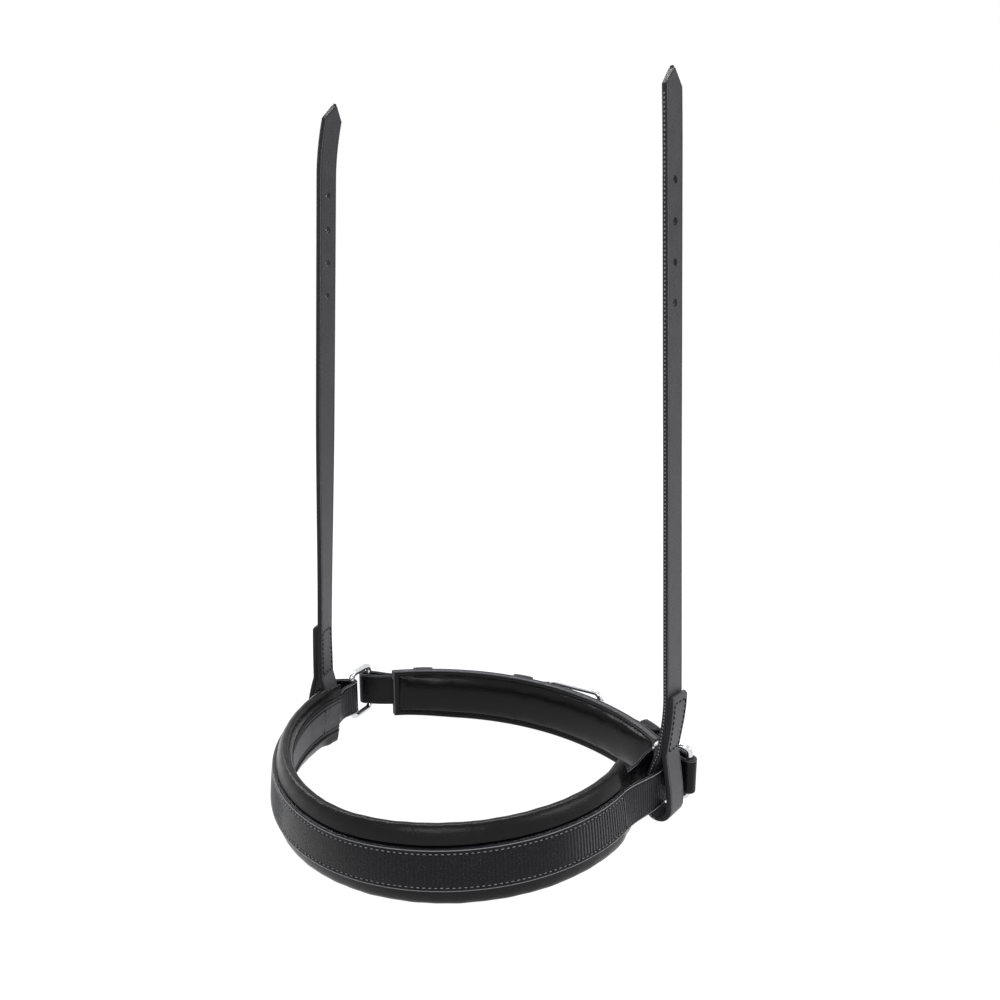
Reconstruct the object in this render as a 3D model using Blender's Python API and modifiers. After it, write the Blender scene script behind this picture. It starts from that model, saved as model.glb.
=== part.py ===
"""Padded crank noseband for a horse's bridle.

The nose piece is a padded, ribbed strap that arches over the nose. A ring hangs
in a folded tab at each of its ends, and the padded jaw piece runs between the
rings: its two straps turn through the rings and meet in a roller buckle. A
cheek strap rises from each side of the nose piece, looped round its tab.

Metres, +Z up, the nose at -Y and the jaw at +Y. Plan points are drawn about a
point midway between the cheek straps. The root empty moves them so that the
middle of the whole outline stands over the world origin.
"""

import math
from dataclasses import dataclass

import bmesh
import bpy
from mathutils import Vector

MM = 0.001

# Gap that touching pieces keep
FIT = 0.3 * MM

# Middle of the outline in plan, in the drawing's own coordinates
OUTLINE_MIDDLE = Vector((1.7 * MM, -39.2 * MM, 0.0))

# Nose piece: plan curve, a rounded arch
NOSE_HALF_WIDTH = 105.1 * MM
NOSE_HALF_DEPTH = 109.1 * MM
NOSE_MIDDLE_X = 0.8 * MM
NOSE_MIDDLE_Y = -33.6 * MM
NOSE_ROUNDNESS = 1.92
NOSE_LEAN = 0.133
NOSE_STEPS = 26
NOSE_END_LEFT = math.radians(-95.0)
NOSE_END_RIGHT = math.radians(95.0)
SEAM_ANGLE = math.radians(86.5)
TAPER_ANGLE = math.radians(5.0)

# Nose pad: two rolls with a channel between them for the strap
PAD_HEIGHT = 43.0 * MM
PAD_THICKNESS = 10.5 * MM
PAD_SQUARENESS = 2.5
PAD_CHANNEL_DEPTH = 2.6 * MM
PAD_CHANNEL_MARGIN = 0.9 * MM
PAD_SLOT = 6.0 * MM
PAD_ROLL_STEPS = 7
PAD_END_SHARE = 0.36
ROLL_END_SHARE = 0.86
PAD_END_STEPS = 5
PAD_GROOVE_DEPTH = 1.2 * MM
PAD_GROOVE_WIDTH = 2.2 * MM
PAD_GROOVE_INSET = 2.2 * MM
COVER_THICKNESS = 1.2 * MM
FOAM_EASE = 0.6 * MM

# Nose strap and the tabs that fold round the rings
NOSE_STRAP_WIDTH = 23.4 * MM
TAB_THICKNESS = 1.7 * MM
NOSE_STRAP_THICKNESS = 2 * TAB_THICKNESS + FIT

# Rings: rounded oblongs of round bar, standing on their short side
RING_BAR_RADIUS = 2.0 * MM
RING_SPAN = 20.0 * MM
RING_HEIGHT = 36.0 * MM
RING_CORNER = 4.0 * MM

# Cheek straps
CHEEK_WIDTH = 16.0 * MM
CHEEK_THICKNESS = 3.2 * MM
CHEEK_TIP_Z = 405.3 * MM
CHEEK_TIP_WIDTH = 1.6 * MM
CHEEK_TIP_LENGTH = 7.6 * MM
CHEEK_HOLE_INSET = 51.4 * MM
CHEEK_HOLE_SPACING = 20.0 * MM
CHEEK_HOLE_COUNT = 4
CHEEK_HOLE_RADIUS = 2.0 * MM
CHEEK_SEAM_BOTTOM_Z = 41.9 * MM
CHEEK_END_Z = 76.5 * MM
CHEEK_TWIST_END_Z = 225.0 * MM
CHEEK_CURL_LENGTH = 41.3 * MM
LOOP_HALF_WIDTH = 7.4 * MM
LOOP_SPLAY = 0.33

# Jaw piece: plan arc of the pad's middle, and the pad
JAW_ARC_CENTRE = Vector((9.0 * MM, -97.0 * MM))
JAW_INNER_RADIUS = 149.0 * MM
JAW_PAD_HEIGHT = 34.2 * MM
JAW_PAD_DROP = 0.9 * MM
JAW_PAD_THICKNESS = 6.5 * MM
JAW_BACKING_THICKNESS = 1.6 * MM
JAW_COVER_THICKNESS = 1.0 * MM
JAW_COVER_FLANGE = 6.0 * MM
JAW_COVER_SQUARENESS = 3.0
JAW_ROLL_STEPS = 14
JAW_STEPS = 22
JAW_PAD_LEFT = math.radians(-39.6)
JAW_PAD_RIGHT = math.radians(40.1)
JAW_LEAVE_INSET = math.radians(1.5)

# Jaw straps, whose middle is on the height of the jaw pad's
JAW_Z = 20.3 * MM
JAW_STRAP_WIDTH = 22.0 * MM
JAW_STRAP_THICKNESS = 2.2 * MM
RING_SLACK = 2.6 * MM
BILLET_TIP_ANGLE = math.radians(-37.0)
BILLET_TIP_LENGTH = 12.0 * MM
BILLET_TIP_WIDTH = 8.0 * MM
BILLET_SETTLE_ANGLE = math.radians(21.0)
BILLET_HOLE_FIRST = 32.0 * MM
BILLET_HOLE_SPACING = 20.0 * MM
BILLET_HOLE_COUNT = 3
BILLET_HOLE_RADIUS = 2.0 * MM

# Roller buckle
HINGE_ANGLE = math.radians(1.9)
HINGE_LIFT = 0.5 * MM
BUCKLE_WIRE = 1.8 * MM
BUCKLE_LENGTH = 37.0 * MM
BUCKLE_CORNER = 4.0 * MM
BUCKLE_SIDE_GAP = 1.7 * MM
SETTLE_TURN = math.radians(5.2)
CLIMB_FOOT = 24.0 * MM
CLIMB_HEAD = 5.0 * MM
ROLLER_WALL = 1.0 * MM
TONGUE_RADIUS = 1.2 * MM
TONGUE_RUNNING = 0.25 * MM
TONGUE_SLOT = 1.0 * MM
TONGUE_RISE = 0.6 * MM
TONGUE_EYE_OPENING = math.radians(20.0)
TONGUE_OVERHANG = 2.5 * MM
CHAPE_SLOT_LENGTH = 12.0 * MM
CHAPE_SLOT_SHIFT = 0.5 * MM
BILLET_SLOT_LENGTH = 15.0 * MM

# Keepers
KEEPER_WIDTH = 14.0 * MM
KEEPER_THICKNESS = 1.6 * MM
KEEPER_CORNER = 1.5 * MM
KEEPER_ROOM = 0.6 * MM
KEEPER_TIP_ANGLE = math.radians(-31.9)
KEEPER_BUCKLE_ANGLE = math.radians(-6.1)
KEEPER_LOOSE_ANGLE = math.radians(32.2)
KEEPER_LOOSE_ROOM = 1.0 * MM

# Working heights and offsets that follow from the sizes above
STRAP_Z = PAD_HEIGHT / 2
CHEEK_HOLE_TOP_Z = CHEEK_TIP_Z - CHEEK_HOLE_INSET
CHEEK_CURL_START_Z = CHEEK_TIP_Z - CHEEK_CURL_LENGTH
PAD_HALF = PAD_THICKNESS / 2
CHANNEL_FLOOR = PAD_HALF - PAD_CHANNEL_DEPTH
CHANNEL_HALF_HEIGHT = NOSE_STRAP_WIDTH / 2 + PAD_CHANNEL_MARGIN
TAB_FOLD = RING_BAR_RADIUS + FIT + TAB_THICKNESS / 2
JAW_FOLD = RING_BAR_RADIUS + FIT + JAW_STRAP_THICKNESS / 2
CHAPE_FOLD = BUCKLE_WIRE + FIT + JAW_STRAP_THICKNESS / 2
JAW_PAD_Z = JAW_Z - JAW_PAD_DROP
JAW_MID_RADIUS = JAW_INNER_RADIUS + JAW_PAD_THICKNESS / 2
LAYER_PITCH = JAW_STRAP_THICKNESS + FIT
LAYER_ONE = JAW_PAD_THICKNESS / 2 + FIT + JAW_STRAP_THICKNESS / 2
LAYER_TWO = LAYER_ONE + LAYER_PITCH
LAYER_THREE = LAYER_TWO + LAYER_PITCH
LOOSE_LAYER = LAYER_TWO + FIT + KEEPER_THICKNESS + KEEPER_LOOSE_ROOM
ROLLER_RADIUS = BUCKLE_WIRE + TONGUE_RUNNING + ROLLER_WALL


@dataclass(frozen=True)
class Side:
    """One side of the noseband.

    Attributes:
        name: "left" or "right", as the picture shows it.
        sign: -1 on the left, +1 on the right.
        loop: plan point of the cheek strap's pivot, in the middle of its loop.
        loop_turn: turn of the loop about Z, from facing along X.
        seat: how far out of the loop's middle the tab runs.
        mid_turn: turn of the cheek strap above its loop.
        top_turn: turn of its upper length.
        lean: plan shift of the uppermost hole from the pivot.
        stand: how far the strap steps out between its loop and its short end's top.
        curl: how far the tip bends inwards.
        near_bar: plan point of the ring's bar in the tab.
        ring_turn: direction in plan from the near bar to the far bar.
        tab_inner: plan points that the tab's inner leg passes, ring first.
        pad_end: angle at which the nose pad ends.
    """

    name: str
    sign: int
    loop: Vector
    loop_turn: float
    seat: float
    mid_turn: float
    top_turn: float
    lean: Vector
    stand: Vector
    curl: float
    near_bar: Vector
    ring_turn: float
    tab_inner: tuple
    pad_end: float


LEFT = Side(
    name="left",
    sign=-1,
    loop=Vector((-119.7, -17.2)) * MM,
    loop_turn=math.radians(9.5),
    seat=-0.1 * MM,
    mid_turn=math.radians(12.6),
    top_turn=math.radians(0.3),
    lean=Vector((6.9, 16.7)) * MM,
    stand=Vector((-0.9, -0.8)) * MM,
    curl=6.0 * MM,
    near_bar=Vector((-108.0, -1.0)) * MM,
    ring_turn=math.radians(91.0),
    tab_inner=(Vector((-106.1, -12.0)) * MM,),
    pad_end=NOSE_END_LEFT,
)
RIGHT = Side(
    name="right",
    sign=1,
    loop=Vector((120.0, -0.5)) * MM,
    loop_turn=math.radians(-8.4),
    seat=0.9 * MM,
    mid_turn=math.radians(-11.9),
    top_turn=math.radians(-9.6),
    lean=Vector((-13.5, -4.8)) * MM,
    stand=Vector((5.9, 2.1)) * MM,
    curl=0.4 * MM,
    near_bar=Vector((109.3, 12.6)) * MM,
    ring_turn=math.radians(12.9),
    tab_inner=(Vector((105.7, -9.0)) * MM,),
    pad_end=NOSE_END_RIGHT,
)


def clear_scene():
    """Remove every object of the open scene."""
    for item in list(bpy.data.objects):
        bpy.data.objects.remove(item, do_unlink=True)


def make_collection(name):
    """Return a new collection linked to the scene."""
    collection = bpy.data.collections.new(name)
    bpy.context.scene.collection.children.link(collection)
    return collection


def make_material(name, colour, roughness, metallic=0.0):
    """Return a Principled material of one colour."""
    material = bpy.data.materials.new(name)
    material.use_nodes = True
    shader = material.node_tree.nodes["Principled BSDF"]
    shader.inputs["Base Color"].default_value = (*colour, 1.0)
    shader.inputs["Roughness"].default_value = roughness
    shader.inputs["Metallic"].default_value = metallic
    material.diffuse_color = (*colour, 1.0)
    return material


def flat(point, z=0.0):
    """Return a plan point at a height."""
    return Vector((point.x, point.y, z))


def bearing(angle):
    """Return the plan direction at an angle from +X."""
    return Vector((math.cos(angle), math.sin(angle)))


def smooth_step(share):
    """Return 0 to 1 along an S curve."""
    share = min(max(share, 0.0), 1.0)
    return share * share * (3.0 - 2.0 * share)


def blend(start, start_way, end, end_way, steps):
    """Return points of a smooth run, without its first one."""
    reach = (end - start).length
    points = []
    for step in range(1, steps + 1):
        t = step / steps
        a = 2 * t**3 - 3 * t**2 + 1
        b = t**3 - 2 * t**2 + t
        c = 3 * t**2 - 2 * t**3
        d = t**3 - t**2
        points.append(start * a + start_way * (reach * b) + end * c + end_way * (reach * d))
    return points


def turn_round(centre, radius, start, end, steps):
    """Return points of an arc about a centre, both ends included."""
    points = []
    for step in range(steps + 1):
        angle = start + (end - start) * step / steps
        points.append(centre + bearing(angle) * radius)
    return points


def spread(start, end, steps):
    """Return evenly spaced values, both ends included."""
    return [start + (end - start) * step / steps for step in range(steps + 1)]


def nose_curve(angle):
    """Return the nose piece's plan point at an angle from the front."""
    power = 2.0 / NOSE_ROUNDNESS
    across = math.copysign(abs(math.sin(angle)) ** power, math.sin(angle))
    along = math.copysign(abs(math.cos(angle)) ** power, math.cos(angle))
    x = NOSE_MIDDLE_X + NOSE_HALF_WIDTH * across
    return Vector((x, NOSE_MIDDLE_Y - NOSE_HALF_DEPTH * along))


def nose_way(angle):
    """Return the nose curve's direction, towards rising angles."""
    step = math.radians(0.5)
    return (nose_curve(angle + step) - nose_curve(angle - step)).normalized()


def nose_point(angle, offset):
    """Return a plan point beside the nose curve, outwards for plus."""
    way = nose_way(angle)
    return nose_curve(angle) + Vector((way.y, -way.x)) * offset


def lean_at(angle):
    """Return how far the nose piece leans inwards per height at an angle."""
    return NOSE_LEAN * abs(math.sin(angle))


def jaw_point(angle, offset):
    """Return a plan point beside the jaw pad's middle, outwards for plus."""
    way = Vector((math.sin(angle), math.cos(angle)))
    return JAW_ARC_CENTRE + way * (JAW_MID_RADIUS + offset)


def jaw_way(angle):
    """Return the jaw arc's direction, towards the right."""
    return Vector((math.cos(angle), -math.sin(angle)))


def jaw_out(angle):
    """Return the jaw arc's outward direction."""
    return Vector((math.sin(angle), math.cos(angle)))


class Builder:
    """Makes the objects and puts them where they belong."""

    def __init__(self):
        self.parts = make_collection("noseband")
        self.cutters = make_collection("noseband_cutters")
        self.root = self.empty("noseband_root", Vector((0, 0, 0)), None)

    def empty(self, name, place, parent):
        """Return an empty at a place in the drawing's coordinates."""
        item = bpy.data.objects.new(name, None)
        item.empty_display_size = 10 * MM
        self.parts.objects.link(item)
        self.place(item, place, parent)
        return item

    def place(self, item, place, parent):
        """Put an item at a place and hang it on its parent."""
        item["place"] = tuple(place)
        item.location = place
        if parent is not None:
            item.parent = parent
            item.location = place - Vector(parent["place"])

    def mesh(self, name, place, rows, material, parent, closed=False, ring=False, caps=False):
        """Return a mesh object whose faces run between rows of points.

        Args:
            name: the object's name.
            place: where its origin lies; the rows are world points.
            rows: lists of points, all of one length.
            material: its material.
            parent: the object it hangs on.
            closed: whether the last row joins the first.
            ring: whether each row is a closed ring.
            caps: whether the first and last rows are filled.
        """
        shape = bmesh.new()
        grid = [[shape.verts.new(point - place) for point in row] for row in rows]
        row_count = len(grid)
        point_count = len(grid[0])
        for row in range(row_count if closed else row_count - 1):
            here = grid[row]
            after = grid[(row + 1) % row_count]
            for spot in range(point_count if ring else point_count - 1):
                other = (spot + 1) % point_count
                shape.faces.new((here[spot], here[other], after[other], after[spot]))
        if caps:
            shape.faces.new(grid[0])
            shape.faces.new(grid[-1])
        bmesh.ops.recalc_face_normals(shape, faces=shape.faces)
        data = bpy.data.meshes.new(name)
        shape.to_mesh(data)
        shape.free()
        data.materials.append(material)
        item = bpy.data.objects.new(name, data)
        self.parts.objects.link(item)
        self.place(item, place, parent)
        return item

    def strap(self, name, place, rows, thickness, material, parent, closed=False):
        """Return a strap: a band of two-point rows, thickened both ways."""
        item = self.mesh(name, place, rows, material, parent, closed=closed)
        self.thicken(item, thickness, 0.0)
        return item

    def thicken(self, item, thickness, offset):
        """Give an open surface its thickness."""
        shell = item.modifiers.new("thickness", "SOLIDIFY")
        shell.thickness = thickness
        shell.offset = offset
        shell.use_even_offset = True

    def bar(self, name, place, points, radius, material, parent, cyclic):
        """Return a round bar along points, as a curve with filled caps."""
        data = bpy.data.curves.new(name, "CURVE")
        data.dimensions = "3D"
        data.bevel_depth = radius
        data.bevel_resolution = 2
        data.use_fill_caps = True
        line = data.splines.new("POLY")
        line.points.add(len(points) - 1)
        for spot, point in zip(line.points, points):
            spot.co = (*(point - place), 1.0)
        line.use_cyclic_u = cyclic
        data.materials.append(material)
        item = bpy.data.objects.new(name, data)
        self.parts.objects.link(item)
        self.place(item, place, parent)
        return item

    def cut(self, item, cutter):
        """Take a cutter's shape out of an item."""
        cutter.hide_render = True
        cutter.display_type = "WIRE"
        cutter.parent = item
        cut = item.modifiers.new(cutter.name, "BOOLEAN")
        cut.operation = "DIFFERENCE"
        cut.solver = "EXACT"
        cut.object = cutter

    def pin_cutter(self, name, centre, axis, radius, length):
        """Return a round cutter about an axis, in its item's own coordinates."""
        shape = bmesh.new()
        bmesh.ops.create_cone(
            shape, cap_ends=True, segments=16, radius1=radius, radius2=radius, depth=length
        )
        return self.cutter(name, shape, centre, axis)

    def slot_cutter(self, name, centre, axis, size):
        """Return a box cutter whose local Z lies along an axis."""
        shape = bmesh.new()
        bmesh.ops.create_cube(shape, size=1.0)
        bmesh.ops.scale(shape, vec=size, verts=shape.verts)
        return self.cutter(name, shape, centre, axis)

    def cutter(self, name, shape, centre, axis):
        """Return a cutter object made from a shape."""
        turn = Vector((0, 0, 1)).rotation_difference(axis)
        bmesh.ops.rotate(shape, cent=(0, 0, 0), matrix=turn.to_matrix(), verts=shape.verts)
        bmesh.ops.translate(shape, vec=centre, verts=shape.verts)
        data = bpy.data.meshes.new(name)
        shape.to_mesh(data)
        shape.free()
        item = bpy.data.objects.new(name, data)
        self.cutters.objects.link(item)
        return item


def upright_rows(points, width, middle_z, taper=None, tilts=None):
    """Return strap rows for a plan path: a low and a high point at each step.

    Args:
        points: the path.
        width: the strap's width.
        middle_z: height of its middle.
        taper: from a point's number to the width there.
        tilts: plan shift per height at each point.
    """
    rows = []
    for index, point in enumerate(points):
        half = width / 2 if taper is None else taper(index) / 2
        shift = Vector((0.0, 0.0)) if tilts is None else tilts[index] * half
        rows.append([flat(point - shift, middle_z - half), flat(point + shift, middle_z + half)])
    return rows


def pad_share(angle, z=0.0):
    """Return how much of the pad's thickness is left at an angle.

    The right end's rolls stay nearly full, the rest thins under the tabs.

    Args:
        angle: the station.
        z: height over the pad's middle.
    """
    past_seam = (abs(angle) - SEAM_ANGLE) / TAPER_ANGLE
    on_roll = angle > 0 and abs(z) > CHANNEL_HALF_HEIGHT + FIT
    end_share = ROLL_END_SHARE if on_roll else PAD_END_SHARE
    return 1.0 - (1.0 - end_share) * smooth_step(past_seam)


def pad_outline(half, height, floor, channel, slot):
    """Return the nose pad's section, from the channel round to the channel.

    Args:
        half: half the thickness at the rolls.
        height: half the height.
        floor: the channel floor's distance outwards from the middle.
        channel: half the channel's height.
        slot: half the gap left between the outline's two ends.
    """
    power = 2.0 / PAD_SQUARENESS
    groove_z = NOSE_STRAP_WIDTH / 2 - PAD_GROOVE_INSET
    start = math.asin(((channel + half - floor) / height) ** (1.0 / power))
    end = math.asin(((groove_z + PAD_GROOVE_WIDTH) / height) ** (1.0 / power))
    lower = [(floor, -slot), (floor, -channel)]
    for angle in spread(start, math.pi - end, PAD_ROLL_STEPS):
        across = math.copysign(abs(math.cos(angle)) ** power, math.cos(angle)) * half
        lower.append((across, -height * math.sin(angle) ** power))
    crown = PAD_GROOVE_DEPTH / 3
    lower.append((PAD_GROOVE_DEPTH - half, -groove_z))
    lower.append((crown - half, PAD_GROOVE_WIDTH - groove_z))
    return lower + [(across, -z) for across, z in reversed(lower)]


def nose_pad_rows(outline, angles):
    """Return rows of a nose pad section along its arch, thinner past the seams.

    Args:
        outline: section points as outward distance and height.
        angles: the stations.
    """
    rows = []
    for angle in angles:
        row = []
        for across, z in outline:
            share = pad_share(angle, z)
            offset = (across + PAD_HALF) * share - PAD_HALF - lean_at(angle) * z
            row.append(flat(nose_point(angle, offset), STRAP_Z + z))
        rows.append(row)
    return rows


def build_nose_pad(build, leather, foam):
    """Make the nose pad: a soft leather cover wrapped round a foam core."""
    angles = spread(NOSE_END_LEFT, -SEAM_ANGLE, PAD_END_STEPS)
    angles += spread(-SEAM_ANGLE, SEAM_ANGLE, NOSE_STEPS)[1:]
    angles += spread(SEAM_ANGLE, NOSE_END_RIGHT, PAD_END_STEPS)[1:]
    outline = pad_outline(
        PAD_HALF, PAD_HEIGHT / 2, CHANNEL_FLOOR, CHANNEL_HALF_HEIGHT, PAD_SLOT / 2
    )
    rows = nose_pad_rows(outline, angles)
    cover = build.mesh("nose_pad_cover", Vector((0, 0, 0)), rows, leather, build.root)
    build.thicken(cover, COVER_THICKNESS, -1.0)

    wrap = COVER_THICKNESS + FIT
    core = pad_outline(
        PAD_HALF - wrap - FOAM_EASE,
        PAD_HEIGHT / 2 - wrap - FOAM_EASE,
        CHANNEL_FLOOR - wrap,
        CHANNEL_HALF_HEIGHT + wrap + FOAM_EASE,
        PAD_SLOT / 2,
    )
    core_end = SEAM_ANGLE - wrap / NOSE_HALF_DEPTH
    core_rows = nose_pad_rows(core, spread(-core_end, core_end, NOSE_STEPS))
    build.mesh(
        "nose_pad_foam", Vector((0, 0, 0)), core_rows, foam, build.root, ring=True, caps=True
    )


def build_nose_strap(build, leather):
    """Make the ribbed strap that lies in the pad's channel."""
    offset = CHANNEL_FLOOR + FIT + NOSE_STRAP_THICKNESS / 2
    angles = spread(-SEAM_ANGLE, SEAM_ANGLE, NOSE_STEPS)
    points = [nose_point(angle, offset) for angle in angles]
    tilts = [nose_tilt(angle) for angle in angles]
    rows = upright_rows(points, NOSE_STRAP_WIDTH, STRAP_Z, tilts=tilts)
    build.strap(
        "nose_strap", Vector((0, 0, 0)), rows, NOSE_STRAP_THICKNESS, leather, build.root
    )


def nose_tilt(angle):
    """Return the plan shift per height of a strap that leans with the pad."""
    way = nose_way(angle)
    return Vector((-way.y, way.x)) * lean_at(angle)


def tab_tilts(side, points):
    """Return a tab's plan shift per height: leaning on the pad, upright at the ring."""
    loop_way = bearing(side.loop_turn + math.pi / 2)
    front = (side.loop - loop_way * (CHEEK_WIDTH / 2)).y
    end = nose_point(side.pad_end, 0.0).y
    turn = max(range(len(points)), key=lambda index: points[index].y)
    full = nose_tilt(side.sign * SEAM_ANGLE)
    leaving = nose_tilt(side.pad_end)
    tilts = []
    for index, point in enumerate(points):
        share, way = (front - point.y) / (front - points[0].y), full
        if index > turn:
            share, way = (side.near_bar.y - point.y) / (side.near_bar.y - end), leaving
        tilts.append(way * min(max(share, 0.0), 1.0))
    seam = side.sign * (SEAM_ANGLE + 2 * FIT / NOSE_HALF_WIDTH)
    on_pad = spread(side.pad_end, seam, PAD_END_STEPS)[1:]
    tilts[-len(on_pad) :] = [nose_tilt(angle) for angle in on_pad]
    return tilts


def tab_path(side):
    """Return the plan path of a tab: out over the loop, round the ring, back in."""
    seam = side.sign * (SEAM_ANGLE + 2 * FIT / NOSE_HALF_WIDTH)
    face = CHANNEL_FLOOR + FIT + TAB_THICKNESS / 2
    outer_start = nose_point(seam, face + FIT + TAB_THICKNESS)
    out_way = nose_way(seam) * side.sign
    loop_way = bearing(side.loop_turn + math.pi / 2)
    seat = side.loop + bearing(side.loop_turn) * (side.sign * side.seat)
    loop_front = seat - loop_way * (CHEEK_WIDTH / 2)
    loop_back = seat + loop_way * (CHEEK_WIDTH / 2)

    # The fold starts where the outer leg meets the bar and ends on the inner leg
    quarter = side.sign * math.pi / 2
    bar_way = (side.near_bar - loop_back).normalized()
    inner_way = (side.tab_inner[0] - side.near_bar).normalized()
    fold_start = math.atan2(bar_way.y, bar_way.x) - quarter
    fold_end = math.atan2(inner_way.y, inner_way.x) - quarter
    while (fold_end - fold_start) * side.sign < 0:
        fold_end += side.sign * math.tau
    arc = turn_round(side.near_bar, TAB_FOLD, fold_start, fold_end, 8)

    points = [outer_start]
    points += blend(outer_start, out_way, loop_front, loop_way, 4)
    points += spread(loop_front, loop_back, 2)[1:]
    points += blend(loop_back, loop_way, arc[0], bar_way, 4)
    points += arc[1:]

    pad_edge = nose_point(side.pad_end, pad_face_offset(side.pad_end))
    chain = [arc[-1], *side.tab_inner, pad_edge]
    ways = [bearing(fold_end + quarter)]
    for before, after in zip(chain, chain[2:]):
        ways.append((after - before).normalized())
    ways.append(-nose_way(side.pad_end) * side.sign)
    for index in range(1, len(chain)):
        points += blend(chain[index - 1], ways[index - 1], chain[index], ways[index], 4)
    for angle in spread(side.pad_end, seam, PAD_END_STEPS)[1:]:
        points.append(nose_point(angle, pad_face_offset(angle)))
    return points


def pad_face_offset(angle):
    """Return the offset of a tab's inner leg, which lies on the pad's face."""
    share = pad_share(angle)
    floor = -PAD_HALF + (CHANNEL_FLOOR + PAD_HALF) * share
    return floor + FIT * (2.0 - share) + TAB_THICKNESS / 2


def build_tab(build, side, leather):
    """Make one tab: a strap folded round its ring, its ends under the nose strap."""
    points = tab_path(side)
    tilts = tab_tilts(side, points)
    rows = upright_rows(points, NOSE_STRAP_WIDTH, STRAP_Z, tilts=tilts)
    name = f"ring_tab_{side.name}"
    build.strap(name, Vector((0, 0, 0)), rows, TAB_THICKNESS, leather, build.root)


def rounded_oblong(centre, along, length, height, corner, steps):
    """Return the bar line of an upright oblong with round corners.

    Args:
        centre: its middle.
        along: level direction of its length.
        length: distance between the two upright bars.
        height: distance between the two level bars.
        corner: radius of the corners.
        steps: segments in each corner.
    """
    points = []
    for quarter in range(4):
        first = quarter * math.pi / 2
        across_sign = 1 if quarter in (0, 3) else -1
        height_sign = 1 if quarter in (0, 1) else -1
        hub = (across_sign * (length / 2 - corner), height_sign * (height / 2 - corner))
        for angle in spread(first, first + math.pi / 2, steps):
            level = hub[0] + corner * math.cos(angle)
            rise = hub[1] + corner * math.sin(angle)
            points.append(centre + along * level + Vector((0, 0, rise)))
    return points


def build_ring(build, side, metal, parent):
    """Make one ring, its origin on the near bar's axis."""
    along = flat(bearing(side.ring_turn))
    near = flat(side.near_bar, STRAP_Z)
    height = RING_HEIGHT - 2 * RING_BAR_RADIUS
    centre = near + along * (RING_SPAN / 2)
    points = rounded_oblong(centre, along, RING_SPAN, height, RING_CORNER, 5)
    return build.bar(
        f"ring_{side.name}", near, points, RING_BAR_RADIUS, metal, parent, cyclic=True
    )


def far_bar(side):
    """Return the plan point of a ring's far bar."""
    return side.near_bar + bearing(side.ring_turn) * RING_SPAN


def cheek_stations():
    """Return the cheek strap's line as outward distance and height over the pivot.

    It runs from the tip down to the loop, round it and up to the short end.
    """
    apart = (CHEEK_THICKNESS + FIT) / 2
    tip = CHEEK_TIP_Z - STRAP_Z
    curl_start = CHEEK_CURL_START_Z - STRAP_Z
    seam_low = CHEEK_SEAM_BOTTOM_Z - STRAP_Z
    bottom_hub = CHEEK_THICKNESS / 2 + LOOP_HALF_WIDTH - STRAP_Z
    heights = [tip, tip - CHEEK_TIP_LENGTH]
    heights += spread(tip - 2 * CHEEK_TIP_LENGTH, curl_start, 3)
    line = [Vector((-apart, z)) for z in heights]
    lowest_hole = CHEEK_HOLE_TOP_Z - (CHEEK_HOLE_COUNT - 1) * CHEEK_HOLE_SPACING - STRAP_Z
    plain_end = lowest_hole - CHEEK_HOLE_SPACING / 2
    twist_end = min(CHEEK_TWIST_END_Z - STRAP_Z, plain_end)
    line += [Vector((-apart, z)) for z in spread(twist_end, seam_low, 6)]
    down = Vector((-LOOP_SPLAY, -1)).normalized()
    inner_low = Vector((-LOOP_HALF_WIDTH, bottom_hub))
    line += blend(line[-1], down, inner_low, Vector((0, -1)), 5)
    line += turn_round(Vector((0, bottom_hub)), LOOP_HALF_WIDTH, math.pi, 2 * math.pi, 8)[1:]
    up = Vector((-LOOP_SPLAY, 1)).normalized()
    line += blend(line[-1], Vector((0, 1)), Vector((apart, seam_low)), up, 5)
    line += [Vector((apart, z)) for z in spread(seam_low, CHEEK_END_Z - STRAP_Z, 2)[1:]]
    return line


def cheek_frame(side, height):
    """Return the strap's outward direction and its plan shift at a height."""
    top = CHEEK_HOLE_TOP_Z - STRAP_Z
    seam_low, end = CHEEK_SEAM_BOTTOM_Z - STRAP_Z, CHEEK_END_Z - STRAP_Z
    low = smooth_step((height - seam_low) / (end - seam_low))
    high = smooth_step((height - end) / (CHEEK_TWIST_END_Z - CHEEK_END_Z))
    turn = side.loop_turn + (side.mid_turn - side.loop_turn) * low
    turn += (side.top_turn - side.mid_turn) * high
    outwards = bearing(turn) * side.sign
    share = max(height, 0.0) / top
    shift = side.lean * share + side.stand * smooth_step(height / end)
    curl_start = CHEEK_CURL_START_Z - STRAP_Z
    bend = max(height - curl_start, 0.0) / (CHEEK_TIP_Z - STRAP_Z - curl_start)
    return outwards, shift - outwards * (side.curl * bend**2)


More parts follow.
